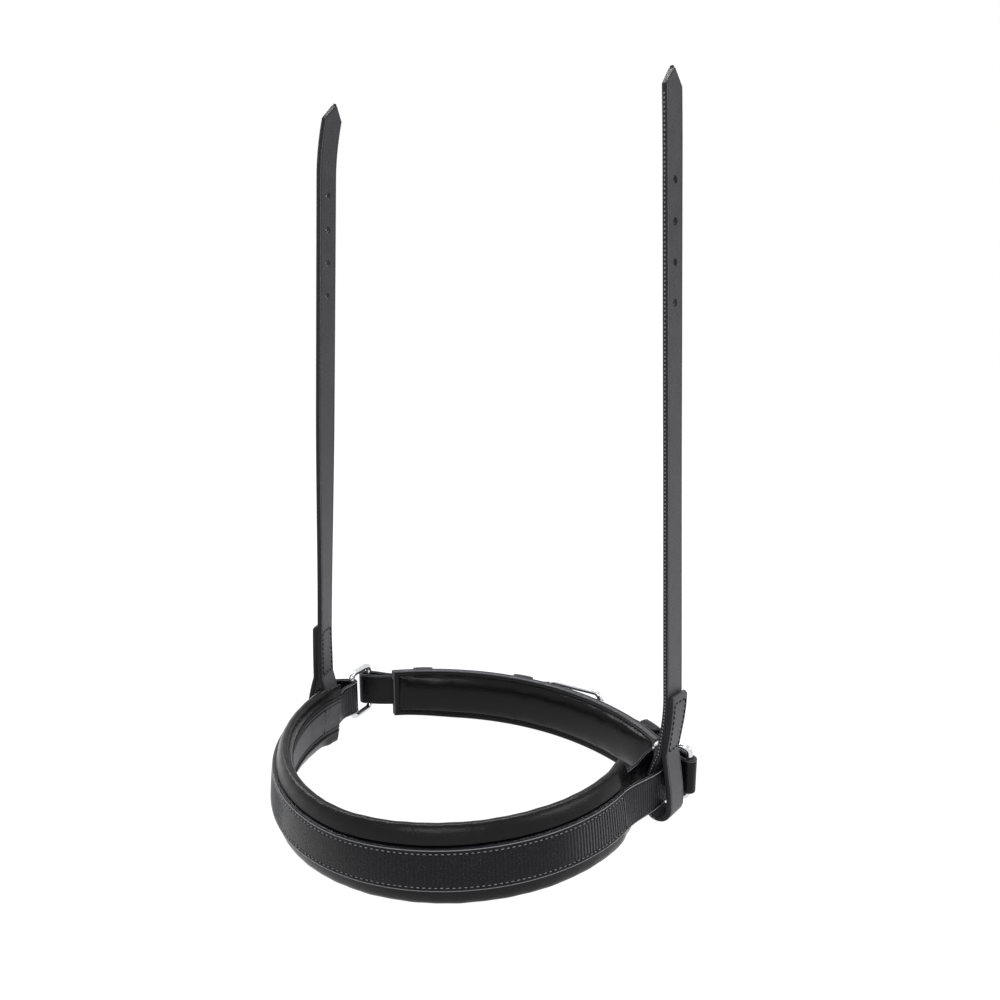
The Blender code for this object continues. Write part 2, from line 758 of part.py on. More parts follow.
def build_cheek_strap(build, side, leather):
    """Make one cheek strap: tip, holes, long strap, loop and stitched short end."""
    pivot = flat(side.loop, STRAP_Z)
    tip = CHEEK_TIP_Z - STRAP_Z
    rows = []
    for distance, height in cheek_stations():
        outwards, shift = cheek_frame(side, height)
        along = Vector((-outwards.y, outwards.x))
        share = min((tip - height) / CHEEK_TIP_LENGTH, 1.0)
        width = CHEEK_TIP_WIDTH + (CHEEK_WIDTH - CHEEK_TIP_WIDTH) * share
        centre = outwards * distance + shift
        row = [flat(centre + along * (sign * width / 2), height) for sign in (-1, 1)]
        rows.append([pivot + point for point in row])
    name = f"cheek_strap_{side.name}"
    strap = build.strap(name, pivot, rows, CHEEK_THICKNESS, leather, build.root)
    for index in range(CHEEK_HOLE_COUNT):
        height = CHEEK_HOLE_TOP_Z - index * CHEEK_HOLE_SPACING - STRAP_Z
        outwards, shift = cheek_frame(side, height)
        centre = flat(shift - outwards * ((CHEEK_THICKNESS + FIT) / 2), height)
        cutter = build.pin_cutter(
            f"{name}_hole_{index}",
            centre,
            flat(outwards),
            CHEEK_HOLE_RADIUS,
            3 * CHEEK_THICKNESS,
        )
        build.cut(strap, cutter)
    return strap


def jaw_rows(outline, angles):
    """Return rows of a section along the jaw arc."""
    rows = []
    for angle in angles:
        row = [flat(jaw_point(angle, across), JAW_PAD_Z + z) for across, z in outline]
        rows.append(row)
    return rows


def jaw_cover_outline(depth, height, back, flange):
    """Return the jaw cover's section: flange, soft inner face, flange.

    Args:
        depth: distance from its back to the crown of its inner face.
        height: half its height.
        back: outward distance of its back.
        flange: height of each turned-in edge.
    """
    power = 2.0 / JAW_COVER_SQUARENESS
    points = [(back, flange - height)]
    for angle in spread(-math.pi / 2, -1.5 * math.pi, JAW_ROLL_STEPS):
        across = math.copysign(abs(math.cos(angle)) ** power, math.cos(angle)) * depth
        z = math.copysign(abs(math.sin(angle)) ** power, math.sin(angle)) * height
        points.append((back + min(across, 0.0), z))
    points.append((back, height - flange))
    return points


def build_jaw_pad(build, leather, foam, parent):
    """Make the jaw pad: a soft cover over foam, closed by a flat backing."""
    origin = parent_place(parent)
    backing_middle = JAW_PAD_THICKNESS / 2 - JAW_BACKING_THICKNESS / 2
    angles = spread(JAW_PAD_LEFT, JAW_PAD_RIGHT, JAW_STEPS)
    points = [jaw_point(angle, backing_middle) for angle in angles]
    rows = upright_rows(points, JAW_PAD_HEIGHT - 2 * FIT, JAW_PAD_Z)
    build.strap("jaw_pad_backing", origin, rows, JAW_BACKING_THICKNESS, leather, parent)

    back = JAW_PAD_THICKNESS / 2 - JAW_BACKING_THICKNESS - FIT
    depth = JAW_PAD_THICKNESS / 2 + back
    outline = jaw_cover_outline(depth, JAW_PAD_HEIGHT / 2, back, JAW_COVER_FLANGE)
    cover = build.mesh("jaw_pad_cover", origin, jaw_rows(outline, angles), leather, parent)
    build.thicken(cover, JAW_COVER_THICKNESS, -1.0)

    wrap = JAW_COVER_THICKNESS + FIT
    core = jaw_cover_outline(
        depth - 2 * wrap - FOAM_EASE,
        JAW_PAD_HEIGHT / 2 - wrap - FOAM_EASE,
        back - wrap,
        JAW_COVER_FLANGE,
    )
    inset = wrap / JAW_MID_RADIUS
    core_angles = spread(JAW_PAD_LEFT + inset, JAW_PAD_RIGHT - inset, JAW_STEPS)
    build.mesh(
        "jaw_pad_foam", origin, jaw_rows(core, core_angles), foam, parent, ring=True, caps=True
    )


def parent_place(parent):
    """Return where a parent lies in the drawing's coordinates."""
    return Vector(parent["place"])


def fold_round(bar, radius, leg_way, inner, steps):
    """Return a half turn round a bar, from its inner side over its far side.

    Args:
        bar: plan point of the bar.
        radius: radius of the strap's middle.
        leg_way: direction in which the strap comes to the bar.
        inner: direction towards the loop's inside, square to it.
        steps: segments.
    """
    points = []
    for angle in spread(0.0, math.pi, steps):
        points.append(bar + inner * (radius * math.cos(angle)) + leg_way * (radius * math.sin(angle)))
    return points


def hinge_place():
    """Return the plan point of the buckle's hinge bar."""
    return jaw_point(HINGE_ANGLE, LAYER_ONE + CHAPE_FOLD + HINGE_LIFT)


def chape_path():
    """Return the plan path of the strap that holds the buckle.

    It starts on the pad beside the buckle, turns round the hinge bar, runs back
    to the left ring, turns round its far bar and lies along the pad again.
    """
    settle_angle = HINGE_ANGLE - SETTLE_TURN
    leave_angle = JAW_PAD_LEFT + JAW_LEAVE_INSET
    outwards = jaw_out(HINGE_ANGLE)
    right = jaw_way(HINGE_ANGLE)
    points = [jaw_point(settle_angle, LAYER_ONE)]
    fold = fold_round(hinge_place(), CHAPE_FOLD, right, -outwards, 10)
    points += blend(points[0], jaw_way(settle_angle), fold[0], right, 4)
    points += fold[1:]
    points += blend(fold[-1], -right, jaw_point(settle_angle, LAYER_TWO), -jaw_way(settle_angle), 5)
    for angle in spread(settle_angle, leave_angle, 12)[1:]:
        points.append(jaw_point(angle, LAYER_TWO))
    bar = far_bar(LEFT)
    reach = (bar - jaw_point(leave_angle, LAYER_ONE)).normalized()
    inner = Vector((-reach.y, reach.x))
    turn = fold_round(bar + reach * RING_SLACK, JAW_FOLD, reach, -inner, 8)
    turn.insert(0, turn[0] - reach * RING_SLACK)
    turn.append(turn[-1] - reach * RING_SLACK)
    points += blend(points[-1], -jaw_way(leave_angle), turn[0], reach, 4)
    points += turn[1:]
    points += blend(
        turn[-1], -reach, jaw_point(leave_angle, LAYER_ONE), jaw_way(leave_angle), 4
    )
    gap = FIT / JAW_MID_RADIUS
    for angle in spread(leave_angle, settle_angle - gap, 13)[1:]:
        points.append(jaw_point(angle, LAYER_ONE))
    return points


def billet_path():
    """Return the plan path of the strap that the buckle fastens.

    It starts on the pad beside the buckle, turns round the right ring's far bar,
    comes back, dives under the roller, climbs through the buckle and lies over
    the other strap up to its tip.
    """
    start_angle = HINGE_ANGLE + (CHAPE_FOLD + JAW_STRAP_THICKNESS) / JAW_MID_RADIUS
    leave_angle = JAW_PAD_RIGHT - JAW_LEAVE_INSET
    proud_angle = KEEPER_LOOSE_ANGLE
    settle_angle = BILLET_SETTLE_ANGLE
    under_angle = HINGE_ANGLE + CLIMB_FOOT / JAW_MID_RADIUS
    over = CHAPE_FOLD + JAW_STRAP_THICKNESS + FIT + KEEPER_ROOM
    outwards = jaw_out(HINGE_ANGLE)
    right = jaw_way(HINGE_ANGLE)
    points = []
    for angle in spread(start_angle, leave_angle, 14):
        points.append(jaw_point(angle, LAYER_ONE))
    bar = far_bar(RIGHT)
    reach = (bar - points[-1]).normalized()
    inner = Vector((reach.y, -reach.x))
    turn = fold_round(bar, JAW_FOLD, reach, inner, 8)
    points += blend(points[-1], jaw_way(leave_angle), turn[0], reach, 4)
    points += turn[1:]
    proud = jaw_point(proud_angle, LOOSE_LAYER)
    points += blend(turn[-1], -reach, proud, -jaw_way(proud_angle), 5)
    settled = jaw_point(settle_angle, LAYER_TWO)
    points += blend(proud, -jaw_way(proud_angle), settled, -jaw_way(settle_angle), 5)
    for angle in spread(settle_angle, under_angle, 4)[1:]:
        points.append(jaw_point(angle, LAYER_TWO))
    above = hinge_place() + outwards * over + right * CLIMB_HEAD
    points += blend(points[-1], -jaw_way(under_angle), above, -right, 8)
    points.append(above - right * CLIMB_HEAD)
    rest_angle = HINGE_ANGLE - SETTLE_TURN
    rest = jaw_point(rest_angle, LAYER_THREE)
    points += blend(points[-1], -right, rest, -jaw_way(rest_angle), 4)
    for angle in spread(rest_angle, BILLET_TIP_ANGLE, 14)[1:]:
        points.append(jaw_point(angle, LAYER_THREE))
    return points


def path_length(points, first, last):
    """Return the length of a path between two of its points."""
    return sum((points[i + 1] - points[i]).length for i in range(first, last))


def build_chape(build, leather, parent):
    """Make the strap that holds the buckle, with a slot for the tongue."""
    origin = parent_place(parent)
    rows = upright_rows(chape_path(), JAW_STRAP_WIDTH, JAW_Z)
    strap = build.strap("buckle_strap", origin, rows, JAW_STRAP_THICKNESS, leather, parent)
    centre = flat(hinge_place() + jaw_way(HINGE_ANGLE) * CHAPE_SLOT_SHIFT, JAW_Z) - origin
    size = (CHAPE_SLOT_LENGTH, 2 * (TONGUE_RADIUS + TONGUE_SLOT), 4 * CHAPE_FOLD)
    cutter = build.slot_cutter("buckle_strap_slot", centre, flat(jaw_out(HINGE_ANGLE)), size)
    build.cut(strap, cutter)


def build_billet(build, leather, parent):
    """Make the strap that the buckle fastens, with its holes and rounded tip."""
    origin = parent_place(parent)
    points = billet_path()
    total = len(points)

    def width_at(index):
        """Return the strap's width at a path point."""
        left = path_length(points, index, total - 1)
        share = min(left / BILLET_TIP_LENGTH, 1.0)
        bulge = math.sqrt(1.0 - (1.0 - share) ** 2)
        return BILLET_TIP_WIDTH + (JAW_STRAP_WIDTH - BILLET_TIP_WIDTH) * bulge

    rows = upright_rows(points, JAW_STRAP_WIDTH, JAW_Z, width_at)
    strap = build.strap("billet_strap", origin, rows, JAW_STRAP_THICKNESS, leather, parent)
    outwards = jaw_out(HINGE_ANGLE)
    right = jaw_way(HINGE_ANGLE)
    middle = (CLIMB_FOOT + CLIMB_HEAD) / 2
    tongue_spot = hinge_place() + right * middle + outwards * CHAPE_FOLD / 2
    size = (BILLET_SLOT_LENGTH, 2 * (TONGUE_RADIUS + TONGUE_SLOT), 4 * CHAPE_FOLD)
    cutter = build.slot_cutter(
        "billet_strap_slot", flat(tongue_spot, JAW_Z) - origin, flat(outwards), size
    )
    build.cut(strap, cutter)
    for index in range(BILLET_HOLE_COUNT):
        past_hinge = BILLET_HOLE_FIRST + index * BILLET_HOLE_SPACING
        angle = HINGE_ANGLE - past_hinge / JAW_MID_RADIUS
        centre = flat(jaw_point(angle, LAYER_THREE), JAW_Z) - origin
        hole = build.pin_cutter(
            f"billet_strap_hole_{index}",
            centre,
            flat(jaw_out(angle)),
            BILLET_HOLE_RADIUS,
            1.5 * JAW_STRAP_THICKNESS,
        )
        build.cut(strap, hole)


def build_buckle(build, metal, parent):
    """Make the buckle's frame, roller and tongue, each on its own axis."""
    outwards = flat(jaw_out(HINGE_ANGLE))
    right = flat(jaw_way(HINGE_ANGLE))
    hinge = flat(hinge_place(), JAW_Z)
    height = JAW_STRAP_WIDTH + 2 * (BUCKLE_SIDE_GAP + BUCKLE_WIRE)
    points = rounded_oblong(
        hinge + right * (BUCKLE_LENGTH / 2), right, BUCKLE_LENGTH, height, BUCKLE_CORNER, 4
    )
    frame = build.bar("buckle_frame", hinge, points, BUCKLE_WIRE, metal, parent, cyclic=True)

    roller_place = hinge + right * BUCKLE_LENGTH
    length = height - 2 * BUCKLE_CORNER - 2 * FIT
    inner = BUCKLE_WIRE + TONGUE_RUNNING
    section = [(ROLLER_RADIUS, length / 2), (ROLLER_RADIUS, -length / 2)]
    section += [(inner, -length / 2), (inner, length / 2)]
    rows = []
    for step in range(20):
        way = flat(bearing(step * math.tau / 20))
        rows.append([roller_place + way * radius + Vector((0, 0, z)) for radius, z in section])
    build.mesh("buckle_roller", roller_place, rows, metal, frame, closed=True, ring=True)

    eye = BUCKLE_WIRE + TONGUE_RUNNING + TONGUE_RADIUS
    line = []
    for angle in spread(TONGUE_EYE_OPENING, math.tau - TONGUE_EYE_OPENING, 14):
        line.append(hinge + right * (eye * math.cos(angle)) - outwards * (eye * math.sin(angle)))
    shank_start = right * (eye + 2 * TONGUE_RADIUS) + outwards * TONGUE_RISE
    rest = ROLLER_RADIUS + FIT + TONGUE_RADIUS
    shank_end = right * BUCKLE_LENGTH + outwards * rest
    for share in spread(0.0, 1.0, 5):
        line.append(hinge + shank_start.lerp(shank_end, share))
    line.append(hinge + shank_end + right * (ROLLER_RADIUS + TONGUE_OVERHANG))
    build.bar("buckle_tongue", hinge, line, TONGUE_RADIUS, metal, frame, cyclic=False)
    return frame


def keeper_section(low, high, half, room, closed):
    """Return a keeper's section as outward distance and height, at its middle.

    Args:
        low: outward distance of the face that it starts from.
        high: outward distance of the outermost strap's face.
        half: half the strap's height.
        room: play around the strap.
        closed: whether it goes right round.
    """
    side = half + room + KEEPER_THICKNESS / 2
    top = high + room + KEEPER_THICKNESS / 2
    corner = KEEPER_CORNER
    points = [(low, -side), (top - corner, -side), (top, corner - side)]
    points += [(top, side - corner), (top - corner, side), (low, side)]
    if closed:
        base = low - room - KEEPER_THICKNESS / 2
        points[0] = (base + corner, -side)
        points[-1] = (base + corner, side)
        points += [(base, side - corner), (base, corner - side)]
    return points


def build_keeper(build, name, angle, low, high, room, leather, parent, closed):
    """Make one keeper across the straps at an angle of the jaw arc."""
    place = flat(jaw_point(angle, high), JAW_Z)
    right = jaw_way(angle)
    section = keeper_section(low, high, JAW_STRAP_WIDTH / 2, room, closed)
    rows = []
    for across, z in section:
        middle = jaw_point(angle, across)
        row = []
        for sign in (-1, 1):
            row.append(flat(middle + right * (sign * KEEPER_WIDTH / 2), JAW_Z + z))
        rows.append(row)
    return build.strap(name, place, rows, KEEPER_THICKNESS, leather, parent, closed=closed)


def main():
    """Build the whole noseband."""
    clear_scene()
    build = Builder()
    soft_leather = make_material("soft_leather", (0.012, 0.012, 0.014), 0.45)
    strap_leather = make_material("strap_leather", (0.07, 0.07, 0.078), 0.6)
    ribbed_leather = make_material("ribbed_leather", (0.006, 0.006, 0.011), 0.3)
    foam = make_material("foam", (0.05, 0.05, 0.05), 0.95)
    steel = make_material("polished_steel", (0.75, 0.76, 0.78), 0.15, 1.0)

    build_nose_pad(build, soft_leather, foam)
    build_nose_strap(build, ribbed_leather)
    for side in (LEFT, RIGHT):
        build_tab(build, side, ribbed_leather)
        build_cheek_strap(build, side, strap_leather)
        build_ring(build, side, steel, build.root)

    jaw = build.empty("jaw_pivot", flat(far_bar(LEFT), JAW_Z), build.root)
    build_jaw_pad(build, soft_leather, foam, jaw)
    build_chape(build, soft_leather, jaw)
    build_billet(build, soft_leather, jaw)
    build_buckle(build, steel, jaw)

    pad_face = JAW_PAD_THICKNESS / 2 + FIT
    over_three = LAYER_THREE + JAW_STRAP_THICKNESS / 2
    for name, angle in (
        ("keeper_tip", KEEPER_TIP_ANGLE),
        ("keeper_buckle", KEEPER_BUCKLE_ANGLE),
    ):
        build_keeper(
            build, name, angle, pad_face, over_three, KEEPER_ROOM, soft_leather, jaw, closed=False
        )
    loose_low = LOOSE_LAYER - JAW_STRAP_THICKNESS / 2
    loose_high = LOOSE_LAYER + JAW_STRAP_THICKNESS / 2
    build_keeper(
        build,
        "keeper_loose",
        KEEPER_LOOSE_ANGLE,
        loose_low,
        loose_high,
        KEEPER_LOOSE_ROOM,
        soft_leather,
        jaw,
        closed=True,
    )
    build.root.location = -OUTLINE_MIDDLE


main()
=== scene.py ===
"""Visual model of a padded crank noseband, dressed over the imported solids.

The nose pad carries a glossy ribbed strap. Folded tabs hold a steel ring at each
side, a padded jaw piece closes the loop with a roller buckle, and two punched
cheek straps rise from loops round the tabs. Plan shapes are drawn about a point
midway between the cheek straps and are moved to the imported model's frame by
ORIGIN. All lengths are in metres.
"""

from __future__ import annotations

import logging
import math
from dataclasses import dataclass, field
from enum import Enum
from typing import Any, Callable, Sequence

import bmesh
import bpy
import numpy as np
from mathutils import Matrix, Vector


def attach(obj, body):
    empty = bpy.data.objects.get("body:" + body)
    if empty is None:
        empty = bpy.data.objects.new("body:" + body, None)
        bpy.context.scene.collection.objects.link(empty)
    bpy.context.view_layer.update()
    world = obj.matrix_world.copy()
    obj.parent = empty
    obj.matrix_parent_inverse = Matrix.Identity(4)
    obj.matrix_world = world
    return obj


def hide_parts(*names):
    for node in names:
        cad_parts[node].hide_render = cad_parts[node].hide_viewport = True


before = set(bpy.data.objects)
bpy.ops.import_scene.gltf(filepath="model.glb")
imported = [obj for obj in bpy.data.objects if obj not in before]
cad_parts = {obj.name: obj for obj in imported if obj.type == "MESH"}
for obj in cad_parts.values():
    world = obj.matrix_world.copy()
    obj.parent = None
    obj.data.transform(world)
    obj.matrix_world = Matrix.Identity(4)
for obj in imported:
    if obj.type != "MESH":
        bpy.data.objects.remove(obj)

LOG = logging.getLogger("noseband")
MM = 0.001
UP = np.array((0.0, 0.0, 1.0))

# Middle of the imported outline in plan, in the drawing's coordinates
ORIGIN = np.array((1.7 * MM, -39.2 * MM))


class Slot(Enum):
    """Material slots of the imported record."""

    SOFT = "soft_leather"
    STRAP = "strap_leather"
    RIBBED = "ribbed_leather"
    STEEL = "polished_steel"


class Face(Enum):
    """The faces that a strap's section is told apart by."""

    OUTER = 0
    INNER = 1
    EDGE = 2


def linear(code: str) -> tuple[float, float, float, float]:
    """Turn an sRGB hex code into a linear colour.

    Args:
        code: six hex digits, with or without a leading hash.

    Returns:
        Red, green and blue in linear light, and an alpha of one.
    """
    digits = code.lstrip("#")
    values = [int(digits[i : i + 2], 16) / 255 for i in (0, 2, 4)]
    parts = [v / 12.92 if v <= 0.04045 else ((v + 0.055) / 1.055) ** 2.4 for v in values]
    return (*parts, 1.0)


def fill(tree: bpy.types.NodeTree, node: Any, inputs: dict) -> None:
    """Fill or link a node's inputs.

    Args:
        tree: the node tree.
        node: the node.
        inputs: socket name or number to a value, or to the socket that feeds it,
            or to a node whose first output does.
    """
    for key, value in inputs.items():
        if isinstance(value, bpy.types.Node):
            value = value.outputs[0]
        if isinstance(value, bpy.types.NodeSocket):
            tree.links.new(value, node.inputs[key])
        else:
            node.inputs[key].default_value = value


def add_node(tree: bpy.types.NodeTree, kind: str, inputs: dict | None = None, **settings: Any) -> Any:
    """Add a node with its settings, and fill or link its inputs.

    Args:
        tree: the node tree.
        kind: the node's type name.
        inputs: what fill takes.
        **settings: attributes of the node.

    Returns:
        The new node.
    """
    made = tree.nodes.new(kind)
    for key, value in settings.items():
        setattr(made, key, value)
    fill(tree, made, inputs or {})
    return made


# Plan geometry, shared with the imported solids


def bearing(angle: float) -> np.ndarray:
    """Return the plan direction at an angle from +X."""
    return np.array((math.cos(angle), math.sin(angle)))


def unit(way: np.ndarray) -> np.ndarray:
    """Return a direction of length one."""
    return way / np.linalg.norm(way)


def unit_rows(ways: np.ndarray) -> np.ndarray:
    """Return directions of length one, from those in an array's last axis."""
    return ways / np.linalg.norm(ways, axis=-1, keepdims=True)


def spread(start: float, end: float, steps: int) -> list[float]:
    """Return evenly spaced values, both ends included."""
    return [start + (end - start) * step / steps for step in range(steps + 1)]


def smooth_step(share: Any) -> Any:
    """Return 0 to 1 along an S curve, for a number or an array."""
    share = np.clip(share, 0.0, 1.0)
    return share * share * (3.0 - 2.0 * share)


def blend(
    start: np.ndarray, start_way: np.ndarray, end: np.ndarray, end_way: np.ndarray, steps: int = 24
) -> list[np.ndarray]:
    """Return points of a smooth run, without its first one.

    Args:
        start: first point.
        start_way: direction of travel there.
        end: last point.
        end_way: direction of travel there.
        steps: how many points.

    Returns:
        Points of a cubic curve that meets both directions.
    """
    reach = np.linalg.norm(end - start)
    points = []
    for step in range(1, steps + 1):
        t = step / steps
        a = 2 * t**3 - 3 * t**2 + 1
        b = t**3 - 2 * t**2 + t
        c = 3 * t**2 - 2 * t**3
        d = t**3 - t**2
        points.append(start * a + start_way * (reach * b) + end * c + end_way * (reach * d))
    return points


def turn_round(centre: np.ndarray, radius: float, start: float, end: float) -> list[np.ndarray]:
    """Return points of an arc about a centre, both ends included."""
    return [centre + bearing(angle) * radius for angle in spread(start, end, 32)]


def fold_round(
    bar: np.ndarray, radius: float, leg_way: np.ndarray, inner: np.ndarray
) -> list[np.ndarray]:
    """Return a half turn round a bar, from its inner side over its far side.

    Args:
        bar: plan point of the bar.
        radius: radius of the strap's middle.
        leg_way: direction in which the strap comes to the bar.
        inner: direction towards the loop's inside, square to it.

    Returns:
        Points of the half turn, both ends included.
    """
    points = []
    for angle in spread(0.0, math.pi, 32):
        points.append(bar + inner * (radius * math.cos(angle)) + leg_way * (radius * math.sin(angle)))
    return points


def distances(line: np.ndarray) -> np.ndarray:
    """Return each point's distance along a line."""
    return np.concatenate(([0.0], np.cumsum(np.linalg.norm(np.diff(line, axis=0), axis=1))))


def line_ways(line: np.ndarray, closed: bool = False) -> np.ndarray:
    """Return a line's direction at each of its points."""
    if closed:
        return unit_rows(np.roll(line, -1, axis=0) - np.roll(line, 1, axis=0))
    return unit_rows(np.gradient(line, axis=0))


def to_frame(points: Sequence[np.ndarray], z: float) -> np.ndarray:
    """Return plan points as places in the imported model's frame, at one height."""
    line = np.array(points) - ORIGIN
    return np.column_stack((line, np.full(len(line), z)))


def resample(points: Sequence[np.ndarray], step: float) -> tuple[np.ndarray, np.ndarray]:
    """Space a line's points evenly.

    Args:
        points: the line.
        step: the spacing aimed at.

    Returns:
        The points, and each one's distance along the line.
    """
    line = np.array(points)
    lengths = distances(line)
    keep = np.concatenate(([True], np.diff(lengths) > 1e-9))
    line, lengths = line[keep], lengths[keep]
    count = max(int(round(lengths[-1] / step)), 2) + 1
    spots = np.linspace(0.0, lengths[-1], count)
    even = np.stack([np.interp(spots, lengths, line[:, k]) for k in range(line.shape[1])], axis=1)
    return even, spots


@dataclass(frozen=True)
class Side:
    """One side of the noseband, as the picture shows it.

    Attributes:
        name: "left" or "right".
        sign: -1 on the left, +1 on the right.
        loop: plan point in the middle of the cheek strap's loop.
        loop_turn: turn of the loop about Z, from facing along X.
        seat: how far out of the loop's middle the tab runs.
        mid_turn: turn of the cheek strap above its loop.
        top_turn: turn of its upper length.
        lean: plan shift of the uppermost hole from the pivot.
        stand: how far the strap steps out between its loop and its short end's top.
        curl: how far the tip bends inwards.
        near_bar: plan point of the ring's bar in the tab.
        ring_turn: direction in plan from the near bar to the far bar.
        tab_inner: plan points that the tab's inner leg passes, ring first.
        pad_end: angle at which the nose pad ends.
    """

    name: str
    sign: int
    loop: np.ndarray
    loop_turn: float
    seat: float
    mid_turn: float
    top_turn: float
    lean: np.ndarray
    stand: np.ndarray
    curl: float
    near_bar: np.ndarray
    ring_turn: float
    tab_inner: tuple[np.ndarray, ...]
    pad_end: float


def plan_point(x: float, y: float) -> np.ndarray:
    """Return a plan point given in millimetres."""
    return np.array((x * MM, y * MM))


LEFT = Side(
    name="left",
    sign=-1,
    loop=plan_point(-119.7, -17.2),
    loop_turn=math.radians(9.5),
    seat=-0.1 * MM,
    mid_turn=math.radians(12.6),
    top_turn=math.radians(0.3),
    lean=plan_point(6.9, 16.7),
    stand=plan_point(-0.9, -0.8),
    curl=6.0 * MM,
    near_bar=plan_point(-108.0, -1.0),
    ring_turn=math.radians(91.0),
    tab_inner=(plan_point(-106.1, -12.0),),
    pad_end=math.radians(-95.0),
)
RIGHT = Side(
    name="right",
    sign=1,
    loop=plan_point(120.0, -0.5),
    loop_turn=math.radians(-8.4),
    seat=0.9 * MM,
    mid_turn=math.radians(-11.9),
    top_turn=math.radians(-9.6),
    lean=plan_point(-13.5, -4.8),
    stand=plan_point(5.9, 2.1),
    curl=0.4 * MM,
    near_bar=plan_point(109.3, 12.6),
    ring_turn=math.radians(12.9),
    tab_inner=(plan_point(105.7, -9.0),),
    pad_end=math.radians(95.0),
)


@dataclass(frozen=True)
class Layout:
    """Sizes that several pieces share, and the plan lines that follow from them."""

    fit: float = 0.3 * MM
    strap_z: float = 21.5 * MM
    jaw_z: float = 20.3 * MM
    nose_half_width: float = 105.1 * MM
    nose_half_depth: float = 109.1 * MM
    nose_middle_x: float = 0.8 * MM
    nose_middle_y: float = -33.6 * MM
    nose_roundness: float = 1.92
    nose_lean: float = 0.133
    seam_angle: float = math.radians(86.5)
    taper_angle: float = math.radians(5.0)
    pad_half: float = 5.25 * MM
    pad_channel_depth: float = 2.6 * MM
    pad_end_share: float = 0.36
    roll_end_share: float = 0.86
    tab_thickness: float = 1.7 * MM
    nose_strap_width: float = 23.4 * MM
    ring_bar: float = 2.0 * MM
    ring_span: float = 20.0 * MM
    jaw_centre: tuple[float, float] = (9.0 * MM, -97.0 * MM)
    jaw_inner_radius: float = 149.0 * MM
    jaw_pad_thickness: float = 6.5 * MM
    jaw_pad_height: float = 34.2 * MM
    jaw_left: float = math.radians(-39.6)
    jaw_right: float = math.radians(40.1)
    jaw_leave: float = math.radians(1.5)
    jaw_strap_width: float = 22.0 * MM
    jaw_strap_thickness: float = 2.2 * MM
    ring_slack: float = 2.6 * MM
    cheek_width: float = 16.0 * MM
    cheek_thickness: float = 3.2 * MM
    hinge_angle: float = math.radians(1.9)
    hinge_lift: float = 0.5 * MM
    wire: float = 1.8 * MM
    settle_turn: float = math.radians(5.2)

    @property
    def channel_floor(self) -> float:
        """Outward distance of the channel's floor."""
        return self.pad_half - self.pad_channel_depth

    @property
    def nose_strap_thickness(self) -> float:
        """Thickness of the nose strap, two tabs and their gap."""
        return 2 * self.tab_thickness + self.fit

    @property
    def jaw_radius(self) -> float:
        """Radius of the jaw pad's middle."""
        return self.jaw_inner_radius + self.jaw_pad_thickness / 2

    @property
    def layer_one(self) -> float:
        """Offset of the jaw strap that lies on the pad."""
        return self.jaw_pad_thickness / 2 + self.fit + self.jaw_strap_thickness / 2

    @property
    def layer_two(self) -> float:
        """Offset of the jaw strap over the first."""
        return self.layer_one + self.jaw_strap_thickness + self.fit

    @property
    def layer_three(self) -> float:
        """Offset of the billet over both."""
        return self.layer_two + self.jaw_strap_thickness + self.fit

    @property
    def chape_fold(self) -> float:
        """Radius of the strap's middle round the buckle's hinge bar."""
        return self.wire + self.fit + self.jaw_strap_thickness / 2

    def nose_curve(self, angle: float) -> np.ndarray:
        """Return the nose piece's plan point at an angle from the front."""
        power = 2.0 / self.nose_roundness
        across = math.copysign(abs(math.sin(angle)) ** power, math.sin(angle))
        along = math.copysign(abs(math.cos(angle)) ** power, math.cos(angle))
        x = self.nose_middle_x + self.nose_half_width * across
        return np.array((x, self.nose_middle_y - self.nose_half_depth * along))

    def nose_way(self, angle: float) -> np.ndarray:
        """Return the nose curve's direction, towards rising angles."""
        step = math.radians(0.5)
        return unit(self.nose_curve(angle + step) - self.nose_curve(angle - step))

    def nose_point(self, angle: float, offset: float) -> np.ndarray:
        """Return a plan point beside the nose curve, outwards for plus."""
        way = self.nose_way(angle)
        return self.nose_curve(angle) + np.array((way[1], -way[0])) * offset

    def lean_at(self, angle: float) -> float:
        """Return how far the nose piece leans inwards per height at an angle."""
        return self.nose_lean * abs(math.sin(angle))

    def nose_tilt(self, angle: float) -> np.ndarray:
        """Return the plan shift per height of a strap that leans with the pad."""
        way = self.nose_way(angle)
        return np.array((-way[1], way[0])) * self.lean_at(angle)

    def nose_place(self, angle: float, offset: float, rise: float) -> np.ndarray:
        """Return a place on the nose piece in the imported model's frame.

        Args:
            angle: from the front.
            offset: outward distance at mid height.
            rise: height over the middle.

        Returns:
            The place.
        """
        plan = self.nose_point(angle, offset - self.lean_at(angle) * rise) - ORIGIN
        return np.array((*plan, self.strap_z + rise))

    def pad_share(self, angle: float, roll: bool = False) -> float:
        """Return how much of the pad's thickness is left at an angle.

        Args:
            angle: the station.
            roll: whether for the rolls, which stay nearly full at the right end.

        Returns:
            A share of the full thickness.
        """
        past = (abs(angle) - self.seam_angle) / self.taper_angle
        end = self.roll_end_share if roll and angle > 0 else self.pad_end_share
        return 1.0 - (1.0 - end) * float(smooth_step(past))

    def jaw_out(self, angle: float) -> np.ndarray:
        """Return the jaw arc's outward direction."""
        return np.array((math.sin(angle), math.cos(angle)))

    def jaw_way(self, angle: float) -> np.ndarray:
        """Return the jaw arc's direction, towards the right."""
        return np.array((math.cos(angle), -math.sin(angle)))

    def jaw_point(self, angle: float, offset: float) -> np.ndarray:
        """Return a plan point beside the jaw pad's middle, outwards for plus."""
        return np.array(self.jaw_centre) + self.jaw_out(angle) * (self.jaw_radius + offset)

